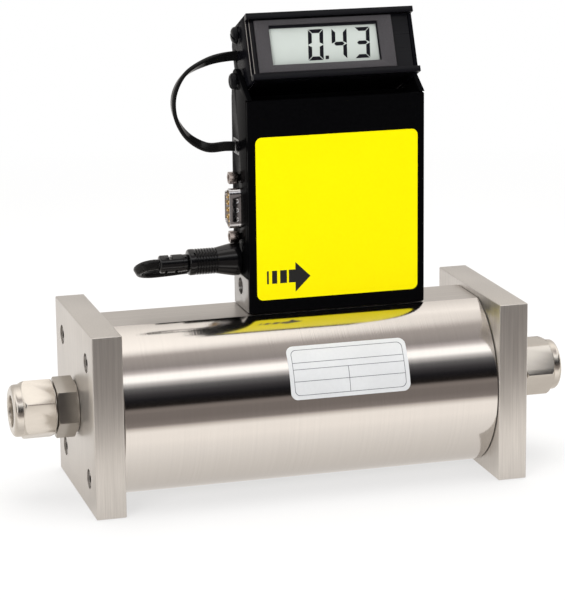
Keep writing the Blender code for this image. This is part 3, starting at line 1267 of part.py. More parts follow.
def pan_screw(name, side, back, up, reach, radius, outer_x, head):
    """Slotted pan-head screw; its head's underside is at outer_x and its shank runs inwards."""
    rotation = ALONG_X if side > 0 else ALONG_MINUS_X
    dome = 0.7 * MM
    profile = [
        (0, PAN_HEAD_HEIGHT), (PAN_HEAD_RADIUS * 0.55, PAN_HEAD_HEIGHT - 0.1 * MM),
        (PAN_HEAD_RADIUS * 0.88, PAN_HEAD_HEIGHT - dome), (PAN_HEAD_RADIUS, PAN_HEAD_HEIGHT - 2 * dome),
        (PAN_HEAD_RADIUS, 0), (radius, 0), (radius, -reach), (0, -reach),
    ]
    place = (outer_x + side * SEAT_GAP, back, up)
    screw = add(name, turned(name, profile, 16), black_metal(), place, rotation, head)
    slot = block("slot_cutter", (-PAN_HEAD_RADIUS * 1.5, -PAN_SLOT_WIDTH / 2, PAN_HEAD_HEIGHT - PAN_SLOT_DEPTH),
                 (PAN_HEAD_RADIUS * 1.5, PAN_SLOT_WIDTH / 2, PAN_HEAD_HEIGHT + 1 * MM))
    cut(screw, add("slot_cutter", slot, None, place, rotation, head))


def display_head():
    head = display_pivot()
    display_case(head)
    display_module(head)
    display_cheek("display_cheek_left", -1, head)
    display_cheek("display_cheek_right", 1, head)
    for label, side, wall_x, case_x in (
        ("left", -1, HOUSING_LEFT, CASE_LEFT),
        ("right", 1, HOUSING_RIGHT, CASE_LEFT + CASE_LENGTH),
    ):
        pan_screw(f"pivot_screw_{label}", side, 0, 0, PIVOT_SCREW_LENGTH, SCREW_RADIUS, wall_x, head)
        pan_screw(f"cheek_screw_{label}", side, CHEEK_SCREW_BACK, CHEEK_SCREW_UP,
                  CHEEK_SCREW_LENGTH, CHEEK_SCREW_RADIUS, case_x, head)
    bpy.context.view_layer.update()
    display_lead(head)


def main():
    clear_scene()
    flow_tube()
    end_plate("inlet_end_plate", -1)
    end_plate("outlet_end_plate", 1)
    flow_element()
    flow_screen("inlet_screen", -SCREEN_OFFSET)
    flow_screen("outlet_screen", SCREEN_OFFSET)
    fitting("inlet", -1, radians(12), radians(54))
    fitting("outlet", 1, radians(51.5), radians(33.4))
    sensor_base_block()
    sensor()
    housing_shell()
    front_cover()
    circuit_board()
    d_connector()
    power_jack()
    lead_socket()
    relief_end = power_plug()
    power_cord(relief_end)
    display_head()


main()
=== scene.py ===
import json
from math import cos, pi, radians, sin, sqrt

import bmesh
import bpy
from bpy.props import FloatProperty, FloatVectorProperty, PointerProperty, StringProperty
from mathutils import Matrix, Vector


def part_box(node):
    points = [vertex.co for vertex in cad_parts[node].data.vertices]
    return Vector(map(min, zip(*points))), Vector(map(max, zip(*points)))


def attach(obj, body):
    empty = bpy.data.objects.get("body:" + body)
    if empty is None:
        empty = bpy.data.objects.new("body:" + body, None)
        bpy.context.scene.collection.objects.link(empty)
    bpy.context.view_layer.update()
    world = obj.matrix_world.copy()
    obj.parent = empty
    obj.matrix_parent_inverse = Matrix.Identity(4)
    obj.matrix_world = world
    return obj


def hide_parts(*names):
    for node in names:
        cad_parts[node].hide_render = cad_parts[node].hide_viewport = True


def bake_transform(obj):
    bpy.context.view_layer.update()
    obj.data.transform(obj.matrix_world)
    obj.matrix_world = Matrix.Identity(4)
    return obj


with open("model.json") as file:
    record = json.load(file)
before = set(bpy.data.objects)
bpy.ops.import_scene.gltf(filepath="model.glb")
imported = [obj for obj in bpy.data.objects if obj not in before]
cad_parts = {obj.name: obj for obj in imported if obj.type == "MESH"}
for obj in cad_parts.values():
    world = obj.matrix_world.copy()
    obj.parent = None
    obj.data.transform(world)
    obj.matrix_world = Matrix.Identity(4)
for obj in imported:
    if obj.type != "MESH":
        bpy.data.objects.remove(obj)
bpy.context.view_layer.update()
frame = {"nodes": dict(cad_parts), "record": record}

bl_info = {
    "name": "Gas flow meter dressing",
    "version": (1, 0, 0),
    "blender": (4, 5, 0),
    "location": "3D View > Sidebar > Flow meter",
    "description": "Models the looks of a gas flow meter around its packed solids",
    "category": "Object",
}

MM = 0.001
ALONG_X = Matrix.Rotation(pi / 2, 4, "Y")
ALONG_MINUS_X = Matrix.Rotation(-pi / 2, 4, "Y")
TO_THE_FRONT = Matrix.Rotation(pi / 2, 4, "X")
ENDS = (("inlet", -1, ALONG_MINUS_X), ("outlet", 1, ALONG_X))

PIVOT_ABOVE_DECK = 9.8 * MM
FIGURE_THICKNESS = 0.04 * MM
PRINT_THICKNESS = 0.02 * MM
FINE_EDGE = 0.08 * MM
WHITE, BLACK = (1, 1, 1), (0, 0, 0)

# Middle of the coil on the bench, in millimetres like the rest of the cord's route
COIL_CENTRE = Vector((-18.0, 82.0, 0.0))

# Strength of what metal mirrors, against steel as dark as it really is
MIRRORED_LIGHT = 1.35


def sized(name, description, millimetres):
    return FloatProperty(name=name, description=description, default=millimetres * MM, unit="LENGTH", precision=5)


def angled(name, description, degrees):
    return FloatProperty(name=name, description=description, default=radians(degrees), subtype="ANGLE")


def tinted(name, description, colour):
    return FloatVectorProperty(
        name=name, description=description, default=colour, subtype="COLOR", size=3, min=0, max=1)


class BodySizes(bpy.types.PropertyGroup):
    tube_radius: sized("Tube radius", "Outer radius of the flow tube", 37.9)
    tube_bore: sized("Tube bore", "Radius of the flow tube's bore", 25.0)
    plate_side: sized("Plate side", "Side of the square end plates", 76.2)
    plate_thickness: sized("Plate thickness", "Thickness of the end plates", 12.5)
    plate_edge: sized("Plate edge", "Width of the plates' broken edges", 0.5)
    hole_spacing: sized("Hole spacing", "Distance between the plates' screws", 49.0)
    hex_size: sized("Hexagon", "Width across flats of the tube fittings", 22.2)
    housing_edge: sized("Housing edge", "Rounding of the sensor housing's edges", 0.7)
    cover_edge: sized("Cover edge", "Rounding of the front cover's edges", 0.9)


class HeadSizes(bpy.types.PropertyGroup):
    lean: angled("Lean", "Angle that the display leans back at rest", 23.3)
    case_edge: sized("Case edge", "Rounding of the display case's edges", 0.35)
    digit_height: sized("Digit height", "Height of the display's figures", 13.1)
    digit_width: sized("Digit width", "Width of one figure", 6.5)
    digit_stroke: sized("Digit stroke", "Width of one bar of a figure", 1.6)
    digit_slant: angled("Digit slant", "Lean of the figures to the right", 5.5)
    reading: StringProperty(name="Reading", description="What the display shows", default="0.43")


class CordSizes(bpy.types.PropertyGroup):
    width: sized("Cord width", "Width of the twin power cord", 4.4)
    thickness: sized("Cord thickness", "Thickness of the twin power cord", 3.3)
    coil_radius: sized("Coil radius", "Mean radius of the coil", 24.2)
    turns: FloatProperty(name="Turns", description="Turns in the coil", default=8.5, min=1, max=16)
    lead_width: sized("Lead width", "Width of the flat display lead", 4.1)
    lead_thickness: sized("Lead thickness", "Thickness of the flat display lead", 2.0)


class LabelSizes(bpy.types.PropertyGroup):
    front_width: sized("Front label width", "Width of the yellow label", 70.0)
    front_height: sized("Front label height", "Height of the yellow label", 68.4)
    front_corner: sized("Front label corner", "Corner radius of the yellow label", 2.6)
    front_bottom: sized("Front label foot", "Height of the yellow label's lower edge", 79.9)
    plate_width: sized("Data label width", "Width of the white label along the tube", 51.5)
    plate_height: sized("Data label height", "Height of the white label round the tube", 22.7)
    plate_left: sized("Data label left", "Left edge of the white label along the tube", -10.1)
    plate_foot: sized("Data label foot", "Lower edge of the white label, measured round the tube", 4.9)
    thickness: sized("Label thickness", "Thickness of the labels", 0.12)


class Colours(bpy.types.PropertyGroup):
    steel: tinted("Steel", "Brushed stainless steel of the end plates", (0.61, 0.58, 0.545))
    polished: tinted("Polished steel", "Turned and polished steel of the tube", (0.64, 0.608, 0.575))
    fitting: tinted("Fitting steel", "Satin steel of the tube fittings", (0.65, 0.61, 0.555))
    aluminium: tinted("Aluminium", "Machined sensor base", (0.43, 0.42, 0.41))
    housing: tinted("Housing", "Black plastic of the sensor housing", (0.0022, 0.0022, 0.0026))
    anodised: tinted("Anodised", "Black anodised display case", (0.0045, 0.0045, 0.006))
    rubber: tinted("Rubber", "Jacket of the cord", (0.006, 0.006, 0.006))
    label: tinted("Label yellow", "Ground of the front label", (1.0, 0.865, 0.0))
    paper: tinted("Label white", "Ground of the data label", (0.67, 0.685, 0.705))
    panel: tinted("Display panel", "Light ground of the display", (0.54, 0.59, 0.562))
    ink: tinted("Display figures", "Dark figures of the display", (0.006, 0.006, 0.009))


class StageSettings(bpy.types.PropertyGroup):
    lens: FloatProperty(name="Lens", description="Focal length", default=160.86, unit="CAMERA")
    azimuth: angled("Azimuth", "Camera's angle round the meter", -15.766)
    elevation: angled("Elevation", "Camera's angle above the bench", 13.658)
    roll: angled("Roll", "Camera's roll", -0.661)
    spot: FloatVectorProperty(
        name="Camera place", description="Where the camera stands", subtype="XYZ",
        default=(-0.283745, -0.994734, 0.327423), unit="LENGTH", precision=5)
    softbox: FloatProperty(name="Softbox", description="Power of the overhead softbox in watts", default=9.0, min=0)
    fill: FloatProperty(name="Fill", description="Power of the front fill light in watts", default=5.0, min=0)


class Signal:
    """The output of a shader node; arithmetic on it adds Math nodes."""

    def __init__(self, graph, socket):
        self.graph = graph
        self.socket = socket

    def maths(self, operation, one, two):
        return self.graph.node("Math", {"operation": operation}, {0: one, 1: two})

    def __add__(self, other):
        return self.maths("ADD", self, other)

    def __radd__(self, other):
        return self.maths("ADD", other, self)

    def __sub__(self, other):
        return self.maths("SUBTRACT", self, other)

    def __rsub__(self, other):
        return self.maths("SUBTRACT", other, self)

    def __mul__(self, other):
        return self.maths("MULTIPLY", self, other)

    def __gt__(self, other):
        return self.maths("GREATER_THAN", self, other)


class Graph:
    """The nodes of one material or of the world."""

    def __init__(self, owner):
        owner.use_nodes = True
        self.tree = owner.node_tree
        self.tree.nodes.clear()

    def node(self, kind, settings=None, inputs=None, output=0):
        """Adds a node: its settings first, then the values or links of its sockets."""
        made = self.tree.nodes.new("ShaderNode" + kind)
        for key, value in (settings or {}).items():
            setattr(made, key, value)
        for key, value in (inputs or {}).items():
            if isinstance(value, Signal):
                self.tree.links.new(value.socket, made.inputs[key])
            else:
                made.inputs[key].default_value = value
        return Signal(self, made.outputs[output]) if made.outputs else None

    def coordinates(self, kind="Object"):
        return self.node("TexCoord", output=kind)

    def noise(self, grain, detail=2.0, rough=0.5, shift=(0, 0, 0)):
        """Noise on object coordinates, as fine along each axis as its grain says."""
        spot = self.node("Mapping", {}, {"Vector": self.coordinates(), "Scale": grain, "Location": shift})
        return self.node("TexNoise", {}, {"Vector": spot, "Scale": 1.0, "Detail": detail, "Roughness": rough})

    def axis(self, name, spot=None):
        return self.node("SeparateXYZ", {}, {0: spot or self.coordinates()}, name)

    def ramp(self, value, *stops):
        """A colour ramp from (position, colour) stops."""
        signal = self.node("ValToRGB", {}, {0: value})
        ramp = signal.socket.node.color_ramp
        while len(ramp.elements) < len(stops):
            ramp.elements.new(0.5)
        for element, (position, colour) in zip(ramp.elements, stops):
            element.position = position
            element.color = (*colour, 1.0)
        return signal

    def mix(self, share, one, two):
        one, two = ((*colour, 1.0) if isinstance(colour, tuple) else colour for colour in (one, two))
        return self.node("Mix", {"data_type": "RGBA"}, {0: share, 6: one, 7: two}, 2)

    def bump(self, height, distance, strength=1.0):
        return self.node("Bump", {}, {"Height": height, "Distance": distance, "Strength": strength})

    def surface(self, **sockets):
        """The Principled shader, by the names of its sockets."""
        inputs = {key.replace("_", " "): value for key, value in sockets.items()}
        self.node("OutputMaterial", {}, {0: self.node("BsdfPrincipled", {}, inputs)})

    def ray(self, kind):
        return self.node("LightPath", output=f"Is {kind} Ray")

    def glow(self, kind, colour, strength=1.0):
        return self.node(kind, {}, {"Color": colour, "Strength": strength})

    def either(self, share, one, two):
        return self.node("MixShader", {}, {0: share, 1: one, 2: two})


def shade(colour, factor):
    return tuple(min(max(channel * factor, 0.0), 1.0) for channel in colour)


def finish(name):
    material = bpy.data.materials.new(name)
    return material, Graph(material)


def worked(name, colour, roughness, metallic, grain, tint, rub, relief=0.0, specular=0.5, blotch=0.04):
    """A surface with fine grain and soft wider patches, in colour, gloss and relief."""
    material, graph = finish(name)
    fine = graph.noise(grain if isinstance(grain, tuple) else (grain, grain, grain), 3.0, 0.62)
    wide = graph.noise((38, 38, 38), 2.0, 0.5, (0.3, 0.1, 0.7))
    span = tint + blotch
    level = fine * (1 - blotch / span) + wide * (blotch / span)
    sockets = {
        "Base_Color": graph.ramp(level, (0.3, shade(colour, 1 - span)), (0.7, shade(colour, 1 + span))),
        "Metallic": metallic, "Specular_IOR_Level": specular,
        "Roughness": (fine - 0.5) * rub + (wide - 0.5) * (rub / 2) + roughness,
    }
    if relief:
        sockets["Normal"] = graph.bump(fine, relief)
    graph.surface(**sockets)
    return material


def polished_steel(base, flat_height):
    """Turned and polished round, with the faint rings of the lathe; the milled flat keeps grain along its length."""
    material, graph = finish("polished tube steel")
    rings = graph.noise((2400, 14, 14), 2.0, 0.6)
    drawn = graph.noise((16, 900, 900), 3.0, 0.6)
    wide = graph.noise((26, 26, 26))
    flat = graph.axis("Z") > flat_height
    grain = rings * (1 - flat) + drawn * flat
    round_colour = graph.ramp(rings * 0.7 + wide * 0.3, (0.3, shade(base, 0.965)), (0.7, shade(base, 1.02)))
    flat_colour = graph.ramp(drawn, (0.3, shade(base, 0.93)), (0.7, shade(base, 1.04)))
    graph.surface(
        Base_Color=graph.mix(flat, round_colour, flat_colour), Metallic=1.0,
        Roughness=0.10 + (rings - 0.5) * 0.05 + flat * 0.25 + (wide - 0.5) * 0.03,
        Normal=graph.bump(grain, 0.000012),
    )
    return material


def brushed_plate(base):
    """Ground plate: fine upright grain on its faces, with a little scatter."""
    material, graph = finish("brushed plate steel")
    fine = graph.noise((1500, 1500, 26), 3.0, 0.65)
    finer = graph.noise((3600, 3600, 90), 2.0, 0.6)
    level = fine * 0.55 + finer * 0.2 + graph.noise((30, 30, 12)) * 0.25
    graph.surface(
        Base_Color=graph.ramp(level, (0.34, shade(base, 0.84)), (0.66, shade(base, 1.12))), Metallic=0.86,
        Roughness=0.36 + (fine - 0.5) * 0.22, Normal=graph.bump(fine, 0.00002, 0.6),
    )
    return material


def plain_materials(colours):
    """Each look: name, colour, roughness, metal, grain, tint, rub and, where needed, relief, specular, blotch."""
    steel, black = colours.fitting, colours.anodised
    looks = {
        "fitting": ("satin fitting steel", steel, 0.25, 1.0, (200, 900, 900), 0.025, 0.04),
        "union": ("turned union steel", shade(steel, 0.66), 0.29, 1.0, (200, 900, 900), 0.03, 0.05),
        "screw": ("socket screw steel", (0.25, 0.235, 0.22), 0.35, 1.0, 900, 0.1, 0.15, 0.00001),
        "inside": ("turned inner steel", (0.38, 0.36, 0.335), 0.4, 1.0, (1200, 60, 60), 0.08, 0.1, 0.00001),
        "seal": ("seal rubber", (0.02, 0.02, 0.02), 0.7, 0.0, 900, 0.15, 0.1, 0.00003),
        "base": ("machined aluminium", colours.aluminium, 0.34, 1.0, (1700, 1700, 40), 0.08, 0.12, 0.00001),
        "housing": ("black housing plastic", colours.housing, 0.2, 0.0, 700, 0.2, 0.12, 0.000002, 0.004),
        "case": ("black anodised case", black, 0.3, 0.0, (40, 1500, 1500), 0.18, 0.16, 0.000003, 0.13),
        "cheek": ("black anodised cheek", black, 0.26, 0.0, 1100, 0.2, 0.16, 0.000003, 0.006),
        "black screw": ("black screw", (0.005, 0.005, 0.006), 0.28, 0.0, 800, 0.2, 0.1, 0.00001, 0.1),
        "plug": ("moulded plug plastic", (0.003, 0.003, 0.0035), 0.13, 0.0, 900, 0.15, 0.06, 0.000001, 0.42),
        "cord": ("cord jacket", colours.rubber, 0.26, 0.0, 700, 0.15, 0.1, 0.000002, 0.2),
        "lead": ("flat lead jacket", (0.006, 0.006, 0.006), 0.17, 0.0, 800, 0.15, 0.06, 0.000001, 0.22),
        "bezel": ("grained bezel plastic", (0.046, 0.043, 0.048), 0.5, 0.0, 2600, 0.25, 0.2, 0.00006),
        "panel": ("display panel", colours.panel, 0.3, 0.0, 60, 0.02, 0.04, 0.0, 0.35, 0.03),
        "figures": ("display figures", colours.ink, 0.4, 0.0, 500, 0.1, 0.1, 0.0, 0.1),
        "amber": ("amber insulator", (0.42, 0.19, 0.035), 0.35, 0.0, 900, 0.12, 0.1, 0.00002),
        "nickel": ("nickel shell", (0.60, 0.60, 0.615), 0.2, 1.0, 1200, 0.07, 0.12, 0.00001),
        "jack": ("jack screw steel", (0.36, 0.31, 0.285), 0.25, 1.0, 1200, 0.07, 0.12, 0.00001),
        "gold": ("gilt pins", (0.83, 0.60, 0.27), 0.22, 1.0, 1200, 0.06, 0.1, 0.000005),
        "board": ("circuit board", (0.02, 0.13, 0.06), 0.42, 0.0, (300, 300, 1600), 0.3, 0.2, 0.00003),
        "copper": ("copper winding", (0.60, 0.24, 0.10), 0.35, 1.0, (4200, 200, 200), 0.25, 0.2, 0.00004),
        "yellow": ("yellow label film", colours.label, 0.38, 0.0, 900, 0.012, 0.06, 0.000002, 0.045, 0.01),
        "printed": ("printed black", (0.012, 0.012, 0.012), 0.4, 0.0, 900, 0.1, 0.08),
        "paper": ("white label film", colours.paper, 0.42, 0.0, 700, 0.02, 0.08, 0.000003),
        "rule": ("printed rule", (0.10, 0.11, 0.13), 0.45, 0.0, 700, 0.08, 0.08),
        "tie": ("wire tie", (0.03, 0.03, 0.03), 0.4, 0.0, 600, 0.2, 0.1, 0.00003),
    }
    return {look: worked(*row) for look, row in looks.items()}


materials = {}


def mm(*points):
    """Points given in millimetres, in metres."""
    return [tuple(value * MM for value in point) for point in points]


def nothing_selected():
    if bpy.context.object and bpy.context.mode != "OBJECT":
        bpy.ops.object.mode_set(mode="OBJECT")
    bpy.ops.object.select_all(action="DESELECT")


def hold(piece):
    """Makes the piece the only one that is selected."""
    nothing_selected()
    piece.select_set(True)
    bpy.context.view_layer.objects.active = piece


def fresh(name):
    """Names the primitive that has just been added."""
    piece = bpy.context.object
    piece.name = name
    piece.data.name = name
    return piece


def edit(piece, kind="VERT"):
    """Opens the piece in edit mode with everything selected."""
    hold(piece)
    bpy.ops.object.mode_set(mode="EDIT")
    bpy.ops.mesh.select_mode(type=kind)
    bpy.ops.mesh.select_all(action="SELECT")


def edited():
    bpy.ops.object.mode_set(mode="OBJECT")


def choose_edges(piece, test):
    """In edit mode, selects the edges that pass the test."""
    bpy.ops.mesh.select_mode(type="EDGE")
    bpy.ops.mesh.select_all(action="DESELECT")
    shape = bmesh.from_edit_mesh(piece.data)
    for edge in shape.edges:
        if test(edge):
            edge.select_set(True)
    bmesh.update_edit_mesh(piece.data)


def slice_through(spot, normal, cut_off=False):
    """In edit mode, slices the whole piece, and may take off and close what lies beyond the plane."""
    bpy.ops.mesh.select_all(action="SELECT")
    bpy.ops.mesh.bisect(plane_co=spot, plane_no=normal, use_fill=cut_off, clear_outer=cut_off)


def settle(piece, place=None):
    """Puts the piece in its place, with the place kept in its mesh."""
    if place is not None:
        piece.matrix_world = place @ piece.matrix_world
    hold(piece)
    bpy.ops.object.transform_apply(location=True, rotation=True, scale=True)
    return piece


def apply_modifier(piece, kind, **settings):
    modifier = piece.modifiers.new("shape", kind)
    for key, value in settings.items():
        setattr(modifier, key, value)
    hold(piece)
    bpy.ops.object.modifier_apply(modifier=modifier.name)
    return piece


def bevelled(piece, width, segments=3, angle=30):
    """Breaks the edges that are sharper than the angle."""
    return apply_modifier(
        piece, "BEVEL", width=width, segments=segments, limit_method="ANGLE", angle_limit=radians(angle))


def smooth(piece, angle=30):
    hold(piece)
    bpy.ops.object.shade_smooth_by_angle(angle=radians(angle))
    return piece


def outwards(piece):
    """Merges doubles and turns every face outwards."""
    edit(piece)
    bpy.ops.mesh.remove_doubles(threshold=2e-7)
    bpy.ops.mesh.normals_make_consistent(inside=False)
    edited()
    return piece


def carve(piece, cutter, operation="DIFFERENCE"):
    apply_modifier(piece, "BOOLEAN", operation=operation, solver="EXACT", object=cutter)
    bpy.data.objects.remove(cutter)
    return piece


def turned(name, profile, segments=64, ring=False):
    """A lathe shape about Z, drawn out ring by ring from (radius, height) points; a ring shape closes on itself."""
    nothing_selected()
    radius, height = profile[0]
    bpy.ops.mesh.primitive_circle_add(vertices=segments, radius=radius, location=(0, 0, height))
    piece = settle(fresh(name))
    edit(piece, "EDGE")
    if not ring:
        bpy.ops.mesh.edge_face_add()
        choose_edges(piece, lambda edge: True)
    for new_radius, new_height in profile[1:]:
        bpy.ops.mesh.extrude_edges_move(TRANSFORM_OT_translate={"value": (0, 0, new_height - height)})
        share = new_radius / radius
        bpy.ops.transform.resize(value=(share, share, 1), center_override=(0, 0, new_height))
        radius, height = new_radius, new_height
    if ring:
        choose_edges(piece, lambda edge: edge.is_boundary)
        bpy.ops.mesh.bridge_edge_loops()
    else:
        bpy.ops.mesh.edge_face_add()
    edited()
    return outwards(piece)


def box(name, low, high):
    """A block between two corners, to be shaped further."""
    nothing_selected()
    low, high = Vector(low), Vector(high)
    bpy.ops.mesh.primitive_cube_add(size=1, location=(low + high) / 2, scale=high - low)
    return settle(fresh(name))


def rod(name, place, radius, low, high, sides=48, turn=0.0):
    """A round or many-sided bar about Z."""
    nothing_selected()
    bpy.ops.mesh.primitive_cylinder_add(
        vertices=sides, radius=radius, depth=high - low, location=(0, 0, (low + high) / 2), rotation=(0, 0, turn))
    return settle(settle(fresh(name)), place)


def hexed(piece, across, turn):
    """Mills six flats on a turned piece."""
    edit(piece)
    for side in range(6):
        angle = turn + pi / 6 + side * pi / 3
        normal = Vector((cos(angle), sin(angle), 0))
        slice_through(normal * across / 2, normal, True)
    edited()
    return outwards(piece)


def outline_plate(name, points, depth, place):
    """A thin plate from a flat outline, with its face towards +Z, drawn out downwards."""
    nothing_selected()
    bpy.ops.mesh.primitive_circle_add(vertices=len(points), radius=1, fill_type="NGON")
    piece = settle(fresh(name))
    for corner, (x, y) in zip(piece.data.vertices, points):
        corner.co = (x, y, 0)
    edit(piece, "FACE")
    bpy.ops.mesh.extrude_region_move(TRANSFORM_OT_translate={"value": (0, 0, -depth)})
    edited()
    return settle(outwards(piece), place)


def rounded_points(width, height, corner, steps=8, centre=(0.0, 0.0)):
    points = []
    for index, (across, up) in enumerate(((1, 1), (-1, 1), (-1, -1), (1, -1))):
        for step in range(steps + 1):
            angle = (index + step / steps) * pi / 2
            points.append((
                centre[0] + across * (width / 2 - corner) + corner * cos(angle),
                centre[1] + up * (height / 2 - corner) + corner * sin(angle),
            ))
    return points


def twin(piece, name, place):
    """A copy of a piece, with its own mesh, moved by a matrix."""
    other = bpy.data.objects.new(name, piece.data.copy())
    other.data.name = name
    bpy.context.scene.collection.objects.link(other)
    other.data.transform(place)
    return other


def joined(pieces, name):
    nothing_selected()
    for piece in pieces:
        piece.select_set(True)
    bpy.context.view_layer.objects.active = pieces[0]
    bpy.ops.object.join()
    return fresh(name)


def from_node(name, node):
    """A merged copy of a CAD node, to be finished further."""
    piece = bpy.data.objects.new(name, frame["nodes"][node].data.copy())
    piece.data.name = name
    piece.data.materials.clear()
    bpy.context.scene.collection.objects.link(piece)
    edit(piece)
    bpy.ops.mesh.remove_doubles(threshold=2e-6)
    bpy.ops.mesh.dissolve_limited(angle_limit=radians(0.5))
    edited()
    bpy.ops.mesh.customdata_custom_splitnormals_clear()
    return piece


def done(piece, body, look, slot, *nodes):
    """Gives a piece its material and the body that carries it, and hides the CAD nodes that it stands for; the slot is
    not used.
    """
    piece.data.materials.clear()
    piece.data.materials.append(materials[look])
    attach(piece, body)
    if nodes:
        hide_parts(*nodes)
    return piece


def dressed(name, node, body, look, slot, width, segments=2, angle=40):
    """A CAD node's copy with broken edges, in its material."""
    piece = from_node(name, node)
    return done(smooth(bevelled(piece, width, segments, angle)), body, look, slot, node)


def head_place(lean):
    """From the display head's own frame, with its Z up along the face, to the meter's."""
    joints = frame["record"]["behaviour"]["joints"]
    pivot = next(joint for joint in joints if joint["name"] == "display_tilt")["pos_m"]
    return Matrix.Translation((0, pivot[1], pivot[2])) @ Matrix.Rotation(-lean, 4, "X")


def middle(node):
    low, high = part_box(node)
    return (low + high) / 2


class FLOW_OT_finishes(bpy.types.Operator):
    """Makes the materials and gives the CAD nodes that stay theirs"""

    bl_idname = "flow.finishes"
    bl_label = "Finishes"

    def execute(self, context):
        colours = context.scene.flow_colours
        materials["plate"] = brushed_plate(colours.steel)
        materials.update(plain_materials(colours))
        materials["tube"] = polished_steel(colours.polished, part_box("flow_tube")[1].z - 0.05 * MM)
        looks = {
            "stainless": "inside", "screw_steel": "screw", "plated": "nickel", "aluminium": "base",
            "black_anodised": "case", "black_screw": "black screw", "gloss_black": "housing", "matte_black": "plug",
            "rubber": "seal", "copper": "copper", "board": "board", "amber": "amber", "bezel": "bezel",
            "lcd_glass": "panel",
        }
        for part in frame["record"]["subparts"]:
            node = frame["nodes"][part["node"]]
            node.data.materials.clear()
            node.data.materials.append(materials[looks[part["material_slot"]]])
        return {"FINISHED"}


class FLOW_OT_flow_tube(bpy.types.Operator):
    """Turns the flow tube and mills its flat"""

    bl_idname = "flow.flow_tube"
    bl_label = "Flow tube"

    def execute(self, context):
        sizes = context.scene.flow_body
        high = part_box("flow_tube")[1]
        half, radius, bore, edge = high.x, sizes.tube_radius, sizes.tube_bore, 0.25 * MM
        tube = turned("tube_body", [
            (radius - edge, -half), (radius, edge - half), (radius, half - edge), (radius - edge, half),
            (bore, half), (bore, -half),
        ], 240, ring=True)
        settle(tube, Matrix.Translation((0, 0, middle("inlet_end_plate").z)) @ ALONG_X)
        edit(tube)
        slice_through((0, 0, high.z), (0, 0, 1), True)
        edited()
        done(smooth(outwards(tube), 12), "meter", "tube", "stainless", "flow_tube")
        return {"FINISHED"}


class FLOW_OT_end_plates(bpy.types.Operator):
    """Makes the two end plates and their sunk socket screws"""

    bl_idname = "flow.end_plates"
    bl_label = "End plates"

    def execute(self, context):
        sizes = context.scene.flow_body
        side, thick, reach = sizes.plate_side, sizes.plate_thickness, sizes.hole_spacing / 2
        plate = bevelled(box("plate_master", (-side / 2, -side / 2, 0), (side / 2, side / 2, thick)), sizes.plate_edge)
        corners = [(x * reach, y * reach) for x in (-1, 1) for y in (-1, 1)]
        for x, y in corners:
            spot = Matrix.Translation((x, y, 0))
            carve(plate, rod("sink", spot, 4.1 * MM, thick - 4.8 * MM, thick + 1 * MM, 40))
            carve(plate, rod("hole", spot, 2.3 * MM, -1 * MM, thick, 24))
        carve(plate, turned("port", mm((21, -1), (20, 0), (10.3, 5), (10.3, thick / MM + 1))))
        smooth(outwards(plate))
        screw = turned("screw_master", mm(
            (3, 4), (3.3, 3.9), (3.5, 3.6), (3.5, 0), (2, 0), (2, -19.6), (1.6, -20)), 40)
        carve(screw, rod("socket", Matrix(), sqrt(3) * MM, 2 * MM, 5 * MM, 6, -pi / 2))
        smooth(outwards(screw))
        for label, face, turn in ENDS:
            node = f"{label}_end_plate"
            centre = middle(node)
            place = Matrix.Translation((centre.x - face * thick / 2, 0, centre.z)) @ turn
            done(twin(plate, f"{label}_plate", place), "meter", "plate", "stainless", node)
            for number, (x, y) in enumerate(corners):
                seat = Matrix.Translation((x, y, thick - 4.5 * MM)) @ Matrix.Rotation(0.3 + number * 0.9, 4, "Z")
                made = twin(screw, f"{label}_plate_screw_{number + 1}", place @ seat)
                done(made, "meter", "screw", "screw_steel", f"{node}_screw_{number + 1}")
        for master in (plate, screw):
            bpy.data.objects.remove(master)
        return {"FINISHED"}


class FLOW_OT_fittings(bpy.types.Operator):
    """Turns and mills the compression fittings at both ends"""

    bl_idname = "flow.fittings"
    bl_label = "Tube fittings"

    def execute(self, context):
        sizes = context.scene.flow_body
        corner = sizes.hex_size / sqrt(3) + 0.05 * MM
        union = [
            *mm((5.2, -11), (10, -11), (10, 0.3), (10.9, 0.3), (10.9, 1), (12.1, 1)),
            (corner, 1.3 * MM), (corner, 8.8 * MM),
            *mm((12.1, 9.2), (9.2, 9.2), (9.2, 17.2), (7.95, 17.2), (6.45, 14.6), (6.45, 6.2), (5.2, 6.2)),
        ]
        nut = [
            *mm((9.5, 10), (11.2, 10)), (corner - 0.5 * MM, 10.35 * MM), (corner, 11 * MM),
            (corner, 21.7 * MM), (corner - 0.6 * MM, 22.6 * MM),
            *mm((11.2, 23.3), (10.9, 23.5), (10.9, 25.1), (10.75, 25.9), (10.35, 26.5), (9.7, 26.95), (9, 27.2),
                (7, 27.2), (6.6, 26.8), (6.6, 23.8), (9.5, 19.8)),
        ]
        degrees = ((12, 54), (51.5, 33.4))
        for (label, face, turn), (union_turn, nut_turn) in zip(ENDS, degrees):
            plate = middle(f"{label}_end_plate")
            place = Matrix.Translation((plate.x + face * sizes.plate_thickness / 2, 0, plate.z)) @ turn
            for name, node, look, profile, angle in (
                ("union", "fitting_body", "union", union, union_turn), ("nut", "fitting_nut", "fitting", nut, nut_turn),
            ):
                piece = turned(f"{label}_{name}", profile, 96, ring=True)
                smooth(bevelled(hexed(piece, sizes.hex_size, radians(angle)), FINE_EDGE, 2, 40), 28)
                done(settle(piece, place), "meter", look, "stainless", f"{label}_{node}")
        return {"FINISHED"}


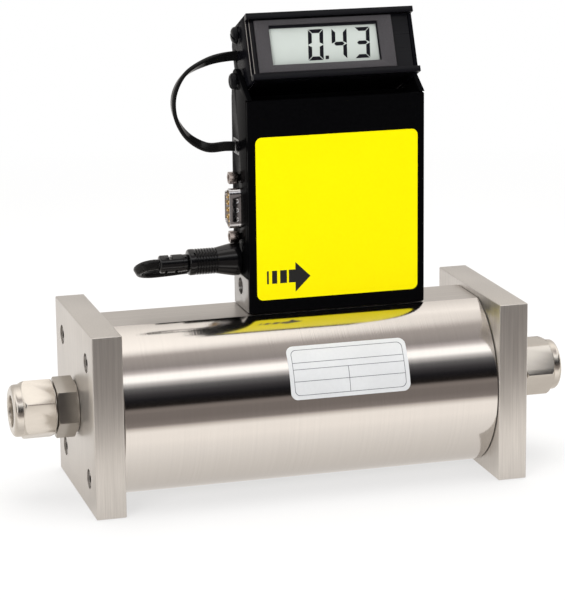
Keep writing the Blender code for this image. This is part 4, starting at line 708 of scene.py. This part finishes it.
class FLOW_OT_housing(bpy.types.Operator):
    """Finishes the sensor base, the housing and its front cover"""

    bl_idname = "flow.housing"
    bl_label = "Sensor housing"

    def execute(self, context):
        sizes = context.scene.flow_body
        dressed("sensor_base", "sensor_base_block", "meter", "base", "aluminium", 0.2 * MM)
        dressed("side_plug", "port_plug", "meter", "black screw", "screw_steel", 0.15 * MM)
        shell = bevelled(from_node("housing_body", "housing_shell"), sizes.housing_edge, 3, 50)
        low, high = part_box("housing_shell")
        deck = head_place(0).translation.z - PIVOT_ABOVE_DECK
        # A low sill along the back of the deck, which closes the slit under the display head
        sill = box("sill", (low.x + 1.4 * MM, high.y - 1.3 * MM, deck - 0.9 * MM),
                   (high.x - 1.4 * MM, high.y, deck + 2.17 * MM))
        done(smooth(carve(shell, sill, "UNION")), "meter", "housing", "gloss_black", "housing_shell")
        low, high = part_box("front_cover")
        cover = bevelled(box("cover_panel", low, (high.x, low.y + 2.5 * MM, high.z)), sizes.cover_edge, 4)
        rim = box("cover_rim", low + Vector((2.3, 2, 19.6)) * MM, high - Vector((2.3, 0, 6.4)) * MM)
        inner = box("rim_inside", low + Vector((3.8, 2.4, 21.1)) * MM, high - Vector((3.8, -1, 7.9)) * MM)
        carve(cover, carve(rim, inner), "UNION")
        done(smooth(outwards(cover)), "meter", "housing", "gloss_black", "front_cover")
        return {"FINISHED"}


class FLOW_OT_connector(bpy.types.Operator):
    """Finishes the 9-pin connector: dimpled shell, insulator, pins and jack screws"""

    bl_idname = "flow.connector"
    bl_label = "Nine-pin connector"

    def execute(self, context):
        shell = from_node("connector_shell", "d_connector_shell")
        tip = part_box("d_connector_shell")[0].x + 0.2 * MM
        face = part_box("housing_shell")[0].x
        centre = middle("d_connector_contacts")
        for lift in (-4.4, -0.5, 3.4):
            nothing_selected()
            bpy.ops.mesh.primitive_uv_sphere_add(
                segments=24, ring_count=12, radius=1.0, scale=(1.05 * MM, 0.40 * MM, 1.05 * MM),
                location=(face - 1.9 * MM, centre.y - 4.2 * MM, centre.z + lift * MM))
            carve(shell, settle(fresh("dimple")))
        done(smooth(bevelled(shell, FINE_EDGE, 2, 50)), "meter", "nickel", "plated", "d_connector_shell")
        contacts = smooth(from_node("connector_insulator", "d_connector_contacts"))
        done(contacts, "meter", "amber", "amber", "d_connector_contacts")
        pins = []
        for row, count in ((-1.42, 5), (1.42, 4)):
            for index in range(count):
                pin = turned("pin", mm((0.25, 0), (0.45, 0.15), (0.53, 0.5), (0.53, 4.4), (0.7, 4.5), (0.7, 4.9)), 16)
                rise = (index - (count - 1) / 2) * 2.77 * MM
                spot = Matrix.Translation((tip, centre.y + row * MM, centre.z + rise))
                pins.append(settle(pin, spot @ ALONG_X))
        done(smooth(joined(pins, "connector_pins")), "meter", "gold", "plated")
        for label in ("lower", "upper"):
            dressed(f"jack_screw_{label}", f"d_jackscrew_{label}", "meter", "jack", "plated", 0.2 * MM)
        return {"FINISHED"}


class FLOW_OT_power_plug(bpy.types.Operator):
    """Turns the ribbed power plug and its strain relief"""

    bl_idname = "flow.power_plug"
    bl_label = "Power plug"

    def execute(self, context):
        centre = middle("power_plug")
        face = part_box("housing_shell")[0].x - 0.3 * MM
        place = Matrix.Translation((face, centre.y, centre.z)) @ ALONG_MINUS_X
        profile = [
            (1.2, -5), (1.2, -9), (2.6, -9), (2.6, 0), (6.4, 0), (6.75, 0.15), (6.9, 0.5), (6.9, 2.4), (6.8, 3.2),
            (6.45, 5), (6, 7.2), (5.6, 9.2),
        ]
        ribs, first, pitch = 8, 9.6, 1.2
        for index in range(ribs):
            at = first + index * pitch
            profile += [(5.5, at), (5.5, at + 0.4 * pitch), (4.8, at + 0.5 * pitch), (4.8, at + 0.9 * pitch)]
        profile += [(5.5, first + ribs * pitch), (5.5, 21.2), (5.2, 21.8), (4.6, 22)]
        plug = smooth(bevelled(turned("plug_grip", mm(*profile), 72), FINE_EDGE, 2, 45), 40)
        done(settle(plug, place), "meter", "plug", "matte_black", "power_plug")
        relief = turned("cord_strain_relief", mm(
            (3, 22.3), (3.5, 22.3), (3.5, 24.3), (3.7, 24.5), (3.7, 33.4), (3.6, 33.8), (3.3, 34.1), (2.4, 34.3)))
        for left, right, low, high in ((2.3, 5, 28.9, 30.3), (-5, -2.3, 26.6, 27.8), (-5, -2.3, 31.0, 32.2)):
            carve(relief, box("notch", *mm((left, -5, low), (right, 5, high))))
        relief = smooth(bevelled(outwards(relief), 0.12 * MM, 2, 45), 40)
        done(settle(relief, place), "meter", "plug", "rubber", "plug_strain_relief")
        return {"FINISHED"}


def smooth_route(points, per_span):
    """Catmull-Rom curve through the points."""
    padded = [2 * points[0] - points[1], *points, 2 * points[-1] - points[-2]]
    found = []
    for index in range(1, len(padded) - 2):
        a, b, c, d = padded[index - 1:index + 3]
        for step in range(per_span):
            t = step / per_span
            found.append(0.5 * (
                2 * b + (c - a) * t + (2 * a - 5 * b + 4 * c - d) * t ** 2
                + (3 * b - a - 3 * c + d) * t ** 3
            ))
    found.append(points[-1])
    return found


def even_route(points, step):
    """The same line with points a fixed step apart."""
    found, carried = [points[0]], 0.0
    for one, two in zip(points, points[1:]):
        span = (two - one).length
        while carried + span >= step and span > 0:
            share = (step - carried) / span
            one = one.lerp(two, share)
            found.append(one)
            span, carried = (two - one).length, 0.0
        carried += span
    if carried > step / 3:
        found.append(points[-1])
    else:
        found[-1] = points[-1]
    return found


def swept(name, path, section, frames):
    """A tube along a path; frames gives its wide and thin directions at each point."""
    nothing_selected()
    bpy.ops.mesh.primitive_circle_add(vertices=len(section), radius=1, fill_type="NGON")
    piece = settle(fresh(name))
    edit(piece, "FACE")
    bpy.ops.mesh.select_all(action="SELECT")
    for _ in path[1:]:
        bpy.ops.mesh.extrude_region_move(TRANSFORM_OT_translate={"value": (0, 0, 1)})
    bpy.ops.object.mode_set(mode="OBJECT")
    count = len(section)
    for index, (centre, (wide, thin)) in enumerate(zip(path, frames)):
        for side, (across, up) in enumerate(section):
            piece.data.vertices[index * count + side].co = centre + wide * across + thin * up
    return outwards(piece)

def heading(path, index):
    """Direction of the path at one of its points."""
    return (path[min(index + 1, len(path) - 1)] - path[max(index - 1, 0)]).normalized()


def carried_frames(path, wide):
    """Wide and thin directions that turn as little as they can along the path."""
    found = []
    for index in range(len(path)):
        along = heading(path, index)
        wide = (wide - along * wide.dot(along)).normalized()
        found.append((wide, along.cross(wide)))
    return found


def twin_section(width, thickness, steps=20):
    """Two cores side by side under one jacket, with a shallow groove between them."""
    radius = thickness / 2
    apart = width / 2 - radius
    points = []
    for step in range(steps):
        angle = 2 * pi * (step + 0.5) / steps
        side = 1 if cos(angle) > 0 else -1
        groove = 1 - 0.16 * (1 - abs(cos(angle))) ** 2
        points.append((side * apart + radius * cos(angle), radius * sin(angle) * groove))
    return points


class FLOW_OT_power_cord(bpy.types.Operator):
    """Lays the power cord down to the bench and into its coil, with its adapter and ties"""

    bl_idname = "flow.power_cord"
    bl_label = "Power cord"

    def route(self, sizes):
        """From the plug down to the bench, round the coil in layers and over to the adapter."""
        plug_end, adapter = Vector((-55.3, 4.2, 94.509)), Vector((38.0, 113.3, 14.5))
        points = [plug_end + Vector(step) for step in (
            (0, 0, 0), (-2.4, 0, 0), (-5.7, 1.7, -1), (-7.3, 5.6, -3.2), (-5.6, 9.7, -5.2), (-0.9, 12.2, -6.3),
            (6.8, 13, -6.3))]
        points += [Vector(point) for point in (
            (-41, 17.4, 88.6), (-32, 17.4, 89), (-22.5, 17, 88.6), (-13.5, 17, 86.2), (-6.5, 19.6, 80.4),
            (-1.8, 25.4, 72.4), (0.6, 32.8, 63), (2, 38.6, 52), (2.8, 41.4, 40), (2.8, 42, 28), (1.4, 42.8, 17),
            (-2.4, 44.8, 8.2), (-7, 49.4, 3.9), (-11.6, 53.6, 2.9))]
        mean, half, per_turn = sizes.coil_radius / MM, sizes.width / MM / 2, 40
        lowest, layer_step, climbs_from, last_layer, top = 2.9, 4.3, 0.86, 3, 15.8
        for step in range(4, int(sizes.turns * per_turn) + 1):
            turn = step / per_turn
            layer = int(turn / 2 + 1e-9)
            share = turn / 2 - layer
            offset = (half - 2 * half * share) * (-1 if layer % 2 else 1)
            climb = min(max((share - climbs_from) / (1 - climbs_from), 0.0), 1.0) if layer < last_layer else 0.0
            lift = lowest + layer_step * (min(layer, last_layer) + climb)
            if turn > 2 * (last_layer + 1):
                offset, lift = half, top
            angle = radians(-85) - 2 * pi * turn
            points.append(COIL_CENTRE + Vector(((mean + offset) * cos(angle), (mean + offset) * sin(angle), lift)))
        points += [COIL_CENTRE + Vector(step) for step in ((17, 29.5, 14.2), (28, 35, 10.5), (38, 41, 8.4))]
        points += [adapter + Vector(step) for step in (
            (-8.5, 12.4, -5.6), (-1.2, 9.4, -2.6), (0, 4.6, -0.6), (0, 0, 0))]
        return [point * MM for point in points]

    def tie(self, name, coil_radius, angle):
        """A wire tie round the coil, with its knot outside."""
        band = outline_plate("band", rounded_points(10.4 * MM, 19.2 * MM, 2.6 * MM, 6), 3 * MM, Matrix())
        inside = rounded_points(9.2 * MM, 18 * MM, 2.1 * MM, 6)
        carve(band, outline_plate("band_inside", inside, 5 * MM, Matrix.Translation((0, 0, 1 * MM))))
        carve(band, bevelled(box("knot", *mm((4.9, -2.4, -2.6), (6.6, 2.4, -0.4))), 0.5 * MM, 2), "UNION")
        smooth(bevelled(outwards(band), 0.12 * MM, 2, 40), 40)
        out, up = Vector((cos(angle), sin(angle), 0)), Vector((0, 0, 1))
        across = up.cross(out)
        centre = COIL_CENTRE * MM + out * coil_radius + up * 9.6 * MM
        turn = Matrix((out, up, -across)).transposed().to_4x4()
        settle(band, Matrix.Translation(centre - across * 1.5 * MM) @ turn)
        band.name = name
        return done(outwards(band), "meter", "tie", "rubber")

    def execute(self, context):
        sizes = context.scene.flow_cord
        path = even_route(smooth_route(self.route(sizes), 8), 1.6 * MM)
        section = twin_section(sizes.width, sizes.thickness)
        cord = smooth(swept("power_cord_run", path, section, carried_frames(path, Vector((0, 0, 1)))), 50)
        done(cord, "meter", "cord", "rubber", "power_cord", "power_cord_coil", "power_cord_end")
        length = sum((two - one).length for one, two in zip(path, path[1:]))
        adapter = dressed("adapter_body", "power_adapter", "meter", "plug", "matte_black", 0.3 * MM)
        ties = [self.tie(f"cord_tie_{number}", sizes.coil_radius, radians(angle))
                for number, angle in ((1, 150), (2, 335))]
        return {"FINISHED"}


class FLOW_OT_display_head(bpy.types.Operator):
    """Finishes the display case, its cheeks, bezel, panel, figures and screws"""

    bl_idname = "flow.display_head"
    bl_label = "Display head"

    def figure(self, sizes, digit):
        """One seven-bar figure, its lower left corner on the origin, in X and Y."""
        lit = {
            "0": "abcdef", "1": "bc", "2": "abged", "3": "abgcd", "4": "fgbc", "5": "afgcd", "6": "afgedc",
            "7": "abc", "8": "abcdefg", "9": "abcdfg",
        }[digit]
        width, height, stroke = sizes.digit_width, sizes.digit_height, sizes.digit_stroke
        half, gap = height / 2, 0.2 * MM
        inner = width - stroke - gap
        top = [(gap, height), (stroke + gap, height - stroke), (inner, height - stroke), (width - gap, height)]
        side = [(0, height - gap), (0, half + gap / 2), (stroke, half + (stroke + gap) / 2),
                (stroke, height - stroke - gap)]
        bar = [(stroke / 2 + gap, half), (stroke + gap, half - stroke / 2), (inner, half - stroke / 2),
               (inner + stroke / 2, half), (inner, half + stroke / 2), (stroke + gap, half + stroke / 2)]
        down = [(x, height - y) for x, y in side]
        shapes = {
            "a": top, "d": [(x, height - y) for x, y in top], "g": bar, "f": side, "e": down,
            "b": [(width - x, y) for x, y in side], "c": [(width - x, y) for x, y in down],
        }
        return [outline_plate("bar", shapes[name], FIGURE_THICKNESS, Matrix()) for name in lit]

    def reading(self, sizes, place):
        """All figures of the reading as one piece, just in front of the glass."""
        foot, glass_front, clear = 2.4 * MM, 17.8 * MM, 0.05 * MM
        bars = []
        starts = {0: 6.8, 2: 16.9, 3: 26.8}
        for index, digit in enumerate(sizes.reading):
            if digit == ".":
                dot = rounded_points(1.5 * MM, 1.5 * MM, 0.3 * MM, 3)
                bars.append(outline_plate("dot", dot, FIGURE_THICKNESS, Matrix.Translation((14.8 * MM, 1 * MM, 0))))
                continue
            for bar in self.figure(sizes, digit):
                bar.data.transform(Matrix.Translation((starts.get(index, 7.6 + index * 10.3) * MM, 0, 0)))
                bars.append(bar)
        figures = joined(bars, "display_figures")
        slant = Matrix.Identity(4)
        slant[0][1] = sin(sizes.digit_slant)
        figures.data.transform(slant)
        figures.data.transform(place @ TO_THE_FRONT @ Matrix.Translation((0, foot, glass_front + clear)))
        done(outwards(figures), "display_head", "figures", "lcd_glass")

    def screws(self):
        """Pan-head screws at the pivots and in the cheeks."""
        screw = turned("pan_master", mm(
            (1.2, 2.2), (2, 2.12), (2.7, 1.85), (3.2, 1.42), (3.5, 0.85), (3.6, 0.3), (3.6, 0), (1.5, 0),
            (1.5, -6.5)), 48)
        carve(screw, box("slot", *mm((-5, -0.5, 1.2), (5, 0.5, 4))))
        smooth(bevelled(outwards(screw), 0.1 * MM, 2, 40), 35)
        head_height = 2.2 * MM
        for side, sign, turn in (("left", -1, ALONG_MINUS_X), ("right", 1, ALONG_X)):
            for kind, angle in (("pivot", 0.5), ("cheek", 1.2)):
                node = f"{kind}_screw_{side}"
                low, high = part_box(node)
                head_x = high.x - head_height if sign > 0 else low.x + head_height
                spot = Matrix.Translation((head_x, middle(node).y, middle(node).z))
                made = twin(screw, f"{kind}_bolt_{side}", spot @ turn @ Matrix.Rotation(angle, 4, "Z"))
                done(made, "display_head", "black screw", "black_screw", node)
        bpy.data.objects.remove(screw)

    def execute(self, context):
        sizes = context.scene.flow_head
        place = head_place(sizes.lean)
        dressed("display_body", "display_case", "display_head", "case", "black_anodised", sizes.case_edge, 3)
        for side in ("left", "right"):
            dressed(f"cheek_{side}", f"display_cheek_{side}", "display_head", "cheek", "black_anodised", 0.25 * MM)
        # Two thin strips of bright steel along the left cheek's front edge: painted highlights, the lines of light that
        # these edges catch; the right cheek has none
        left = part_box("display_cheek_left")[0].x / MM
        edges = [
            settle(box("painted_highlight_strip", *mm((left + start, -17.58, -4.6), (left + end, -17.2, 22.4))), place)
            for start, end in ((0.02, 0.26), (1.45, 1.75))
        ]
        done(joined(edges, "cheek_painted_highlights"), "display_head", "inside", "black_anodised")
        bezel = from_node("display_frame", "display_bezel")
        # The window is cut taller than the CAD's so that the painted shade strip below shows
        carve(bezel, settle(box("opening", *mm((-8.85, -20.3, 0.9), (37.8, -18.05, 17.7))), place))
        bezel = smooth(outwards(bevelled(outwards(bezel), 0.25 * MM, 2, 50)))
        done(bezel, "display_head", "bezel", "bezel", "display_bezel")
        dressed("display_panel", "display_glass", "display_head", "panel", "lcd_glass", 0.1 * MM, 2, 50)
        # A dark strip inside the top and the right of the window, in the figures' ink: painted shade, where the bezel
        # shades the panel
        edge = box("panel_painted_shade", *mm((-8.95, -18.24, 16.6), (37.9, -18.08, 17.8)))
        side = box("panel_painted_shade_side", *mm((37.25, -18.24, 0.8), (37.9, -18.08, 17.8)))
        done(settle(carve(edge, side, "UNION"), place), "display_head", "figures", "lcd_glass")
        self.reading(sizes, place)
        self.screws()
        return {"FINISHED"}


class FLOW_OT_display_lead(bpy.types.Operator):
    """Bends the flat lead from the housing into the display head"""

    bl_idname = "flow.display_lead"
    bl_label = "Display lead"

    def execute(self, context):
        sizes = context.scene.flow_cord
        start = head_place(context.scene.flow_head.lean) @ Vector((-14.1 * MM, 1.6 * MM, 10.8 * MM))
        end = Vector((-21.0, 6.2, 142.009)) * MM
        points = [start, start + Vector((-7.5, 0.0, 0.3)) * MM]
        points += [Vector(point) for point in mm(
            (-31, 11.2, 177.2), (-40.6, 10.2, 172.6), (-45.6, 9.4, 164.5), (-45.6, 8.6, 155.5), (-40.9, 7.8, 147.2),
            (-33, 7, 142.2))]
        points += [end + Vector((-4.0, 0.2, 0.2)) * MM, end]
        path = even_route(smooth_route(points, 12), 1.1 * MM)
        frames = []
        for index in range(len(path)):
            along = heading(path, index)
            across = Vector((0, 1, 0))
            across = (across - along * across.dot(along)).normalized()
            turn = pi / 2 * (1 - sin(pi * index / (len(path) - 1)) ** 2)
            wide = across * cos(turn) + along.cross(across) * sin(turn)
            frames.append((wide, along.cross(wide)))
        section = twin_section(sizes.lead_width, sizes.lead_thickness, 24)
        lead = smooth(swept("display_lead_run", path, section, frames), 50)
        lead.data.materials.append(materials["lead"])
        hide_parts("display_lead")
        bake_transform(lead)
        return {"FINISHED"}


class FLOW_OT_labels(bpy.types.Operator):
    """Makes the yellow front label with its flow arrow and the white data label on the tube"""

    bl_idname = "flow.labels"
    bl_label = "Labels"

    def front_label(self, sizes):
        low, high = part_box("front_cover")
        centre = ((low.x + high.x) / 2, sizes.front_bottom + sizes.front_height / 2)
        front = low.y - sizes.thickness
        points = rounded_points(sizes.front_width, sizes.front_height, sizes.front_corner, 10, centre)
        label = outline_plate("front_label", points, sizes.thickness, Matrix.Translation((0, front, 0)) @ TO_THE_FRONT)
        done(smooth(bevelled(label, 0.04 * MM, 1, 40)), "meter", "yellow", "gloss_black")
        marks = [
            ((right, 92.2), (right, 86.7), (left, 86.7), (left, 92.2))
            for left, right in ((-13.1, -12.3), (-10.9, -8.7), (-7.4, -4.5))
        ]
        marks.append(((-3.65, 86.7), (-0.8, 86.7), (-0.8, 82.6), (5.7, 89), (-0.8, 95.3), (-0.8, 92.2), (-3.65, 92.2)))
        place = Matrix.Translation((0, front - PRINT_THICKNESS, 0)) @ TO_THE_FRONT
        pieces = [outline_plate("mark", mm(*mark), PRINT_THICKNESS, place) for mark in marks]
        done(outwards(joined(pieces, "flow_arrow")), "meter", "printed", "gloss_black")

    def wrapped(self, name, points, radius, thickness):
        """A flat outline, in length and arc, bent round the tube."""
        piece = outline_plate(name, points, thickness, Matrix())
        foot, top = min(y for _, y in points), max(y for _, y in points)
        edit(piece)
        for cut in range(1, 24):
            slice_through((0, foot + (top - foot) * cut / 24, 0), (0, 1, 0))
        edited()
        axis_height = middle("inlet_end_plate").z
        for corner in piece.data.vertices:
            angle = corner.co.y / radius
            out = radius + thickness + corner.co.z
            corner.co = (corner.co.x, -out * cos(angle), axis_height + out * sin(angle))
        return outwards(piece)

    def data_label(self, sizes, radius):
        width, height, left, foot = sizes.plate_width, sizes.plate_height, sizes.plate_left, sizes.plate_foot
        x, y = centre = (left + width / 2, foot + height / 2)
        label = self.wrapped("data_label", rounded_points(width, height, 3 * MM, 8, centre), radius, sizes.thickness)
        done(smooth(label), "meter", "paper", "stainless")
        inset, line = 1.7 * MM, 0.22 * MM
        outer, inner = (
            rounded_points(width - 2 * reach, height - 2 * reach, corner, 8, centre)
            for reach, corner in ((inset, 2.2 * MM), (inset + line, 2.1 * MM))
        )
        half = len(outer) // 2
        outlines = []
        for start, way in ((half // 2, 1), (half + half // 2, -1)):
            paths = []
            for loop, rise in ((outer, height / 2 - inset), (inner, height / 2 - inset - line)):
                run = [loop[(start + step) % len(loop)] for step in range(half)]
                paths.append([(x, y + way * rise), *run, (x, y - way * rise)])
            outlines.append(paths[0] + paths[1][::-1])
        strips = [(left + inset, foot + height * share, left + width - inset, foot + height * share + line)
                  for share in (0.67, 0.545, 0.325)]
        upright = x - 0.4 * MM
        strips.append((upright, foot + inset, upright + line, foot + height * 0.545))
        outlines += [[(x1, y1), (x2, y1), (x2, y2), (x1, y2)] for x1, y1, x2, y2 in strips]
        rules = [self.wrapped("rule", outline, radius + sizes.thickness, PRINT_THICKNESS) for outline in outlines]
        done(joined(rules, "data_label_rules"), "meter", "rule", "stainless")

    def execute(self, context):
        sizes = context.scene.flow_labels
        self.front_label(sizes)
        self.data_label(sizes, context.scene.flow_body.tube_radius)
        return {"FINISHED"}


class FLOW_OT_stage(bpy.types.Operator):
    """Sets the bench, the studio light and the camera"""

    bl_idname = "flow.stage"
    bl_label = "Stage"

    def bench(self):
        """White for the camera but for its soft shadow, and bands across it for metal to mirror, with painted shade
        under the tube.
        """
        nothing_selected()
        bpy.ops.mesh.primitive_plane_add(size=6, location=(0, 0, -0.0002))
        floor = settle(fresh("bench"))
        material, graph = finish("pale bench")
        distance = graph.node("VectorMath", {"operation": "LENGTH"}, {0: graph.coordinates()}, "Value")
        # What metal mirrors of the bench, by its Y: darkest right under the tube, which is painted shade, lighter
        # behind and just in front, and brown further in front
        seen = graph.ramp(
            0.5 - graph.axis("Y") * 2.0, (0.36, (0.76, 0.735, 0.71)), (0.47, (0.62, 0.585, 0.55)),
            (0.53, (0.55, 0.525, 0.50)), (0.60, (0.80, 0.77, 0.74)), (0.65, (0.94, 0.90, 0.86)),
            (0.72, (0.95, 0.91, 0.87)), (0.77, (0.60, 0.555, 0.52)), (0.81, (0.23, 0.203, 0.192)),
            (1.0, (0.19, 0.167, 0.157)))
        shadow = graph.ramp(distance, (0.4, (0.38, 0.38, 0.38)), (0.8, BLACK))
        matt = graph.node("BsdfDiffuse", {}, {"Color": (0.82, 0.82, 0.82, 1)})
        shown = graph.either(shadow, graph.glow("Emission", (1, 1, 1, 1)), matt)
        other = graph.either(graph.ray("Glossy"), matt, graph.glow("Emission", seen, MIRRORED_LIGHT))
        graph.node("OutputMaterial", {}, {0: graph.either(graph.ray("Camera"), other, shown)})
        floor.data.materials.append(material)

    def studio(self):
        """Bands in front and a backdrop behind for metal, white for the camera, even light elsewhere."""
        world = bpy.data.worlds.new("studio")
        bpy.context.scene.world = world
        graph = Graph(world)
        direction = graph.coordinates("Generated")
        height, depth, aside = (graph.axis(name, direction) * 0.5 + 0.5 for name in "ZYX")
        bands = (
            (-90, 0.19, 0.167, 0.157), (3, 0.22, 0.193, 0.18), (6, 0.009, 0.007, 0.006), (15, 0.010, 0.010, 0.012),
            (22, 0.045, 0.043, 0.047), (29, 0.13, 0.13, 0.135), (35, 0.62, 0.61, 0.61), (38, 1.25, 1.25, 1.24),
            (44, 1.25, 1.23, 1.22), (48, 0.58, 0.54, 0.54), (53, 0.29, 0.268, 0.263), (68, 0.40, 0.37, 0.355),
            (75, 1.14, 1.1, 1.06), (90, 1.18, 1.14, 1.09))
        front = graph.ramp(height, *(((sin(radians(angle)) + 1) / 2, colour) for angle, *colour in bands))
        strip = graph.ramp(aside, (0.06, BLACK), (0.10, WHITE), (0.17, WHITE), (0.22, BLACK))
        behind = graph.ramp(depth, (0.44, BLACK), (0.62, WHITE))
        backdrop = graph.ramp(depth, (0.62, (1.05, 1.01, 0.97)), (0.9, (0.53, 0.505, 0.48)))
        sky = graph.mix(behind, graph.mix(strip, front, (1.25, 1.23, 1.2)), backdrop)
        even = graph.glow("Background", (1, 0.985, 0.97, 1), 0.62)
        lit = graph.either(graph.ray("Glossy"), even, graph.glow("Background", sky, MIRRORED_LIGHT))
        white = graph.glow("Background", (1, 1, 1, 1))
        graph.node("OutputWorld", {}, {0: graph.either(graph.ray("Camera"), lit, white)})

    def lamp(self, name, spot, aim, size, power, colour):
        """A square light that metal doesn't mirror."""
        nothing_selected()
        bpy.ops.object.light_add(type="AREA", location=spot)
        lamp = bpy.context.object
        lamp.name = name
        lamp.data.size = size
        lamp.data.energy = power
        lamp.data.color = colour
        lamp.rotation_euler = (Vector(aim) - Vector(spot)).to_track_quat("-Z", "Y").to_euler()
        lamp.visible_glossy = False

    def execute(self, context):
        settings = context.scene.flow_stage
        self.bench()
        self.studio()
        self.lamp("softbox", (0.1, 0.1, 0.95), (0, 0, 0.05), 0.9, settings.softbox, (1, 0.985, 0.96))
        self.lamp("fill", (-0.75, -0.85, 0.55), (0, 0, 0.1), 0.5, settings.fill, (1, 0.99, 0.98))
        camera = bpy.data.cameras.new("view")
        camera.lens = settings.lens
        camera.sensor_width = 36
        camera.sensor_fit = "HORIZONTAL"
        seat = bpy.data.objects.new("view", camera)
        context.scene.collection.objects.link(seat)
        turn = Matrix.Rotation(settings.azimuth, 4, "Z") @ Matrix.Rotation(pi / 2 - settings.elevation, 4, "X")
        seat.matrix_world = Matrix.Translation(settings.spot) @ turn @ Matrix.Rotation(settings.roll, 4, "Z")
        context.scene.camera = seat
        context.scene.view_settings.view_transform = "Standard"
        return {"FINISHED"}


class FLOW_PT_panel(bpy.types.Panel):
    """Lists the operators that dress the meter"""

    bl_idname = "FLOW_PT_panel"
    bl_label = "Flow meter"
    bl_space_type = "VIEW_3D"
    bl_region_type = "UI"
    bl_category = "Flow meter"

    def draw(self, context):
        for operator in operators:
            self.layout.operator(operator.bl_idname)
        for group in ("flow_body", "flow_head", "flow_cord", "flow_labels", "flow_colours", "flow_stage"):
            column = self.layout.column(align=True)
            for name in getattr(context.scene, group).__annotations__:
                column.prop(getattr(context.scene, group), name)


groups = {
    "flow_body": BodySizes, "flow_head": HeadSizes, "flow_cord": CordSizes, "flow_labels": LabelSizes,
    "flow_colours": Colours, "flow_stage": StageSettings,
}
operators = (
    FLOW_OT_finishes, FLOW_OT_stage, FLOW_OT_power_cord, FLOW_OT_flow_tube, FLOW_OT_end_plates, FLOW_OT_fittings,
    FLOW_OT_housing, FLOW_OT_connector, FLOW_OT_power_plug, FLOW_OT_display_head, FLOW_OT_display_lead,
    FLOW_OT_labels,
)


def register():
    for item in (*groups.values(), *operators, FLOW_PT_panel):
        bpy.utils.register_class(item)
    for name, group in groups.items():
        setattr(bpy.types.Scene, name, PointerProperty(type=group))


def unregister():
    for name in groups:
        delattr(bpy.types.Scene, name)
    for item in reversed((*groups.values(), *operators, FLOW_PT_panel)):
        bpy.utils.unregister_class(item)


def main():
    register()
    for operator in operators:
        family, name = operator.bl_idname.split(".")
        getattr(getattr(bpy.ops, family), name)()
    nothing_selected()


if __name__ == "__main__":
    main()
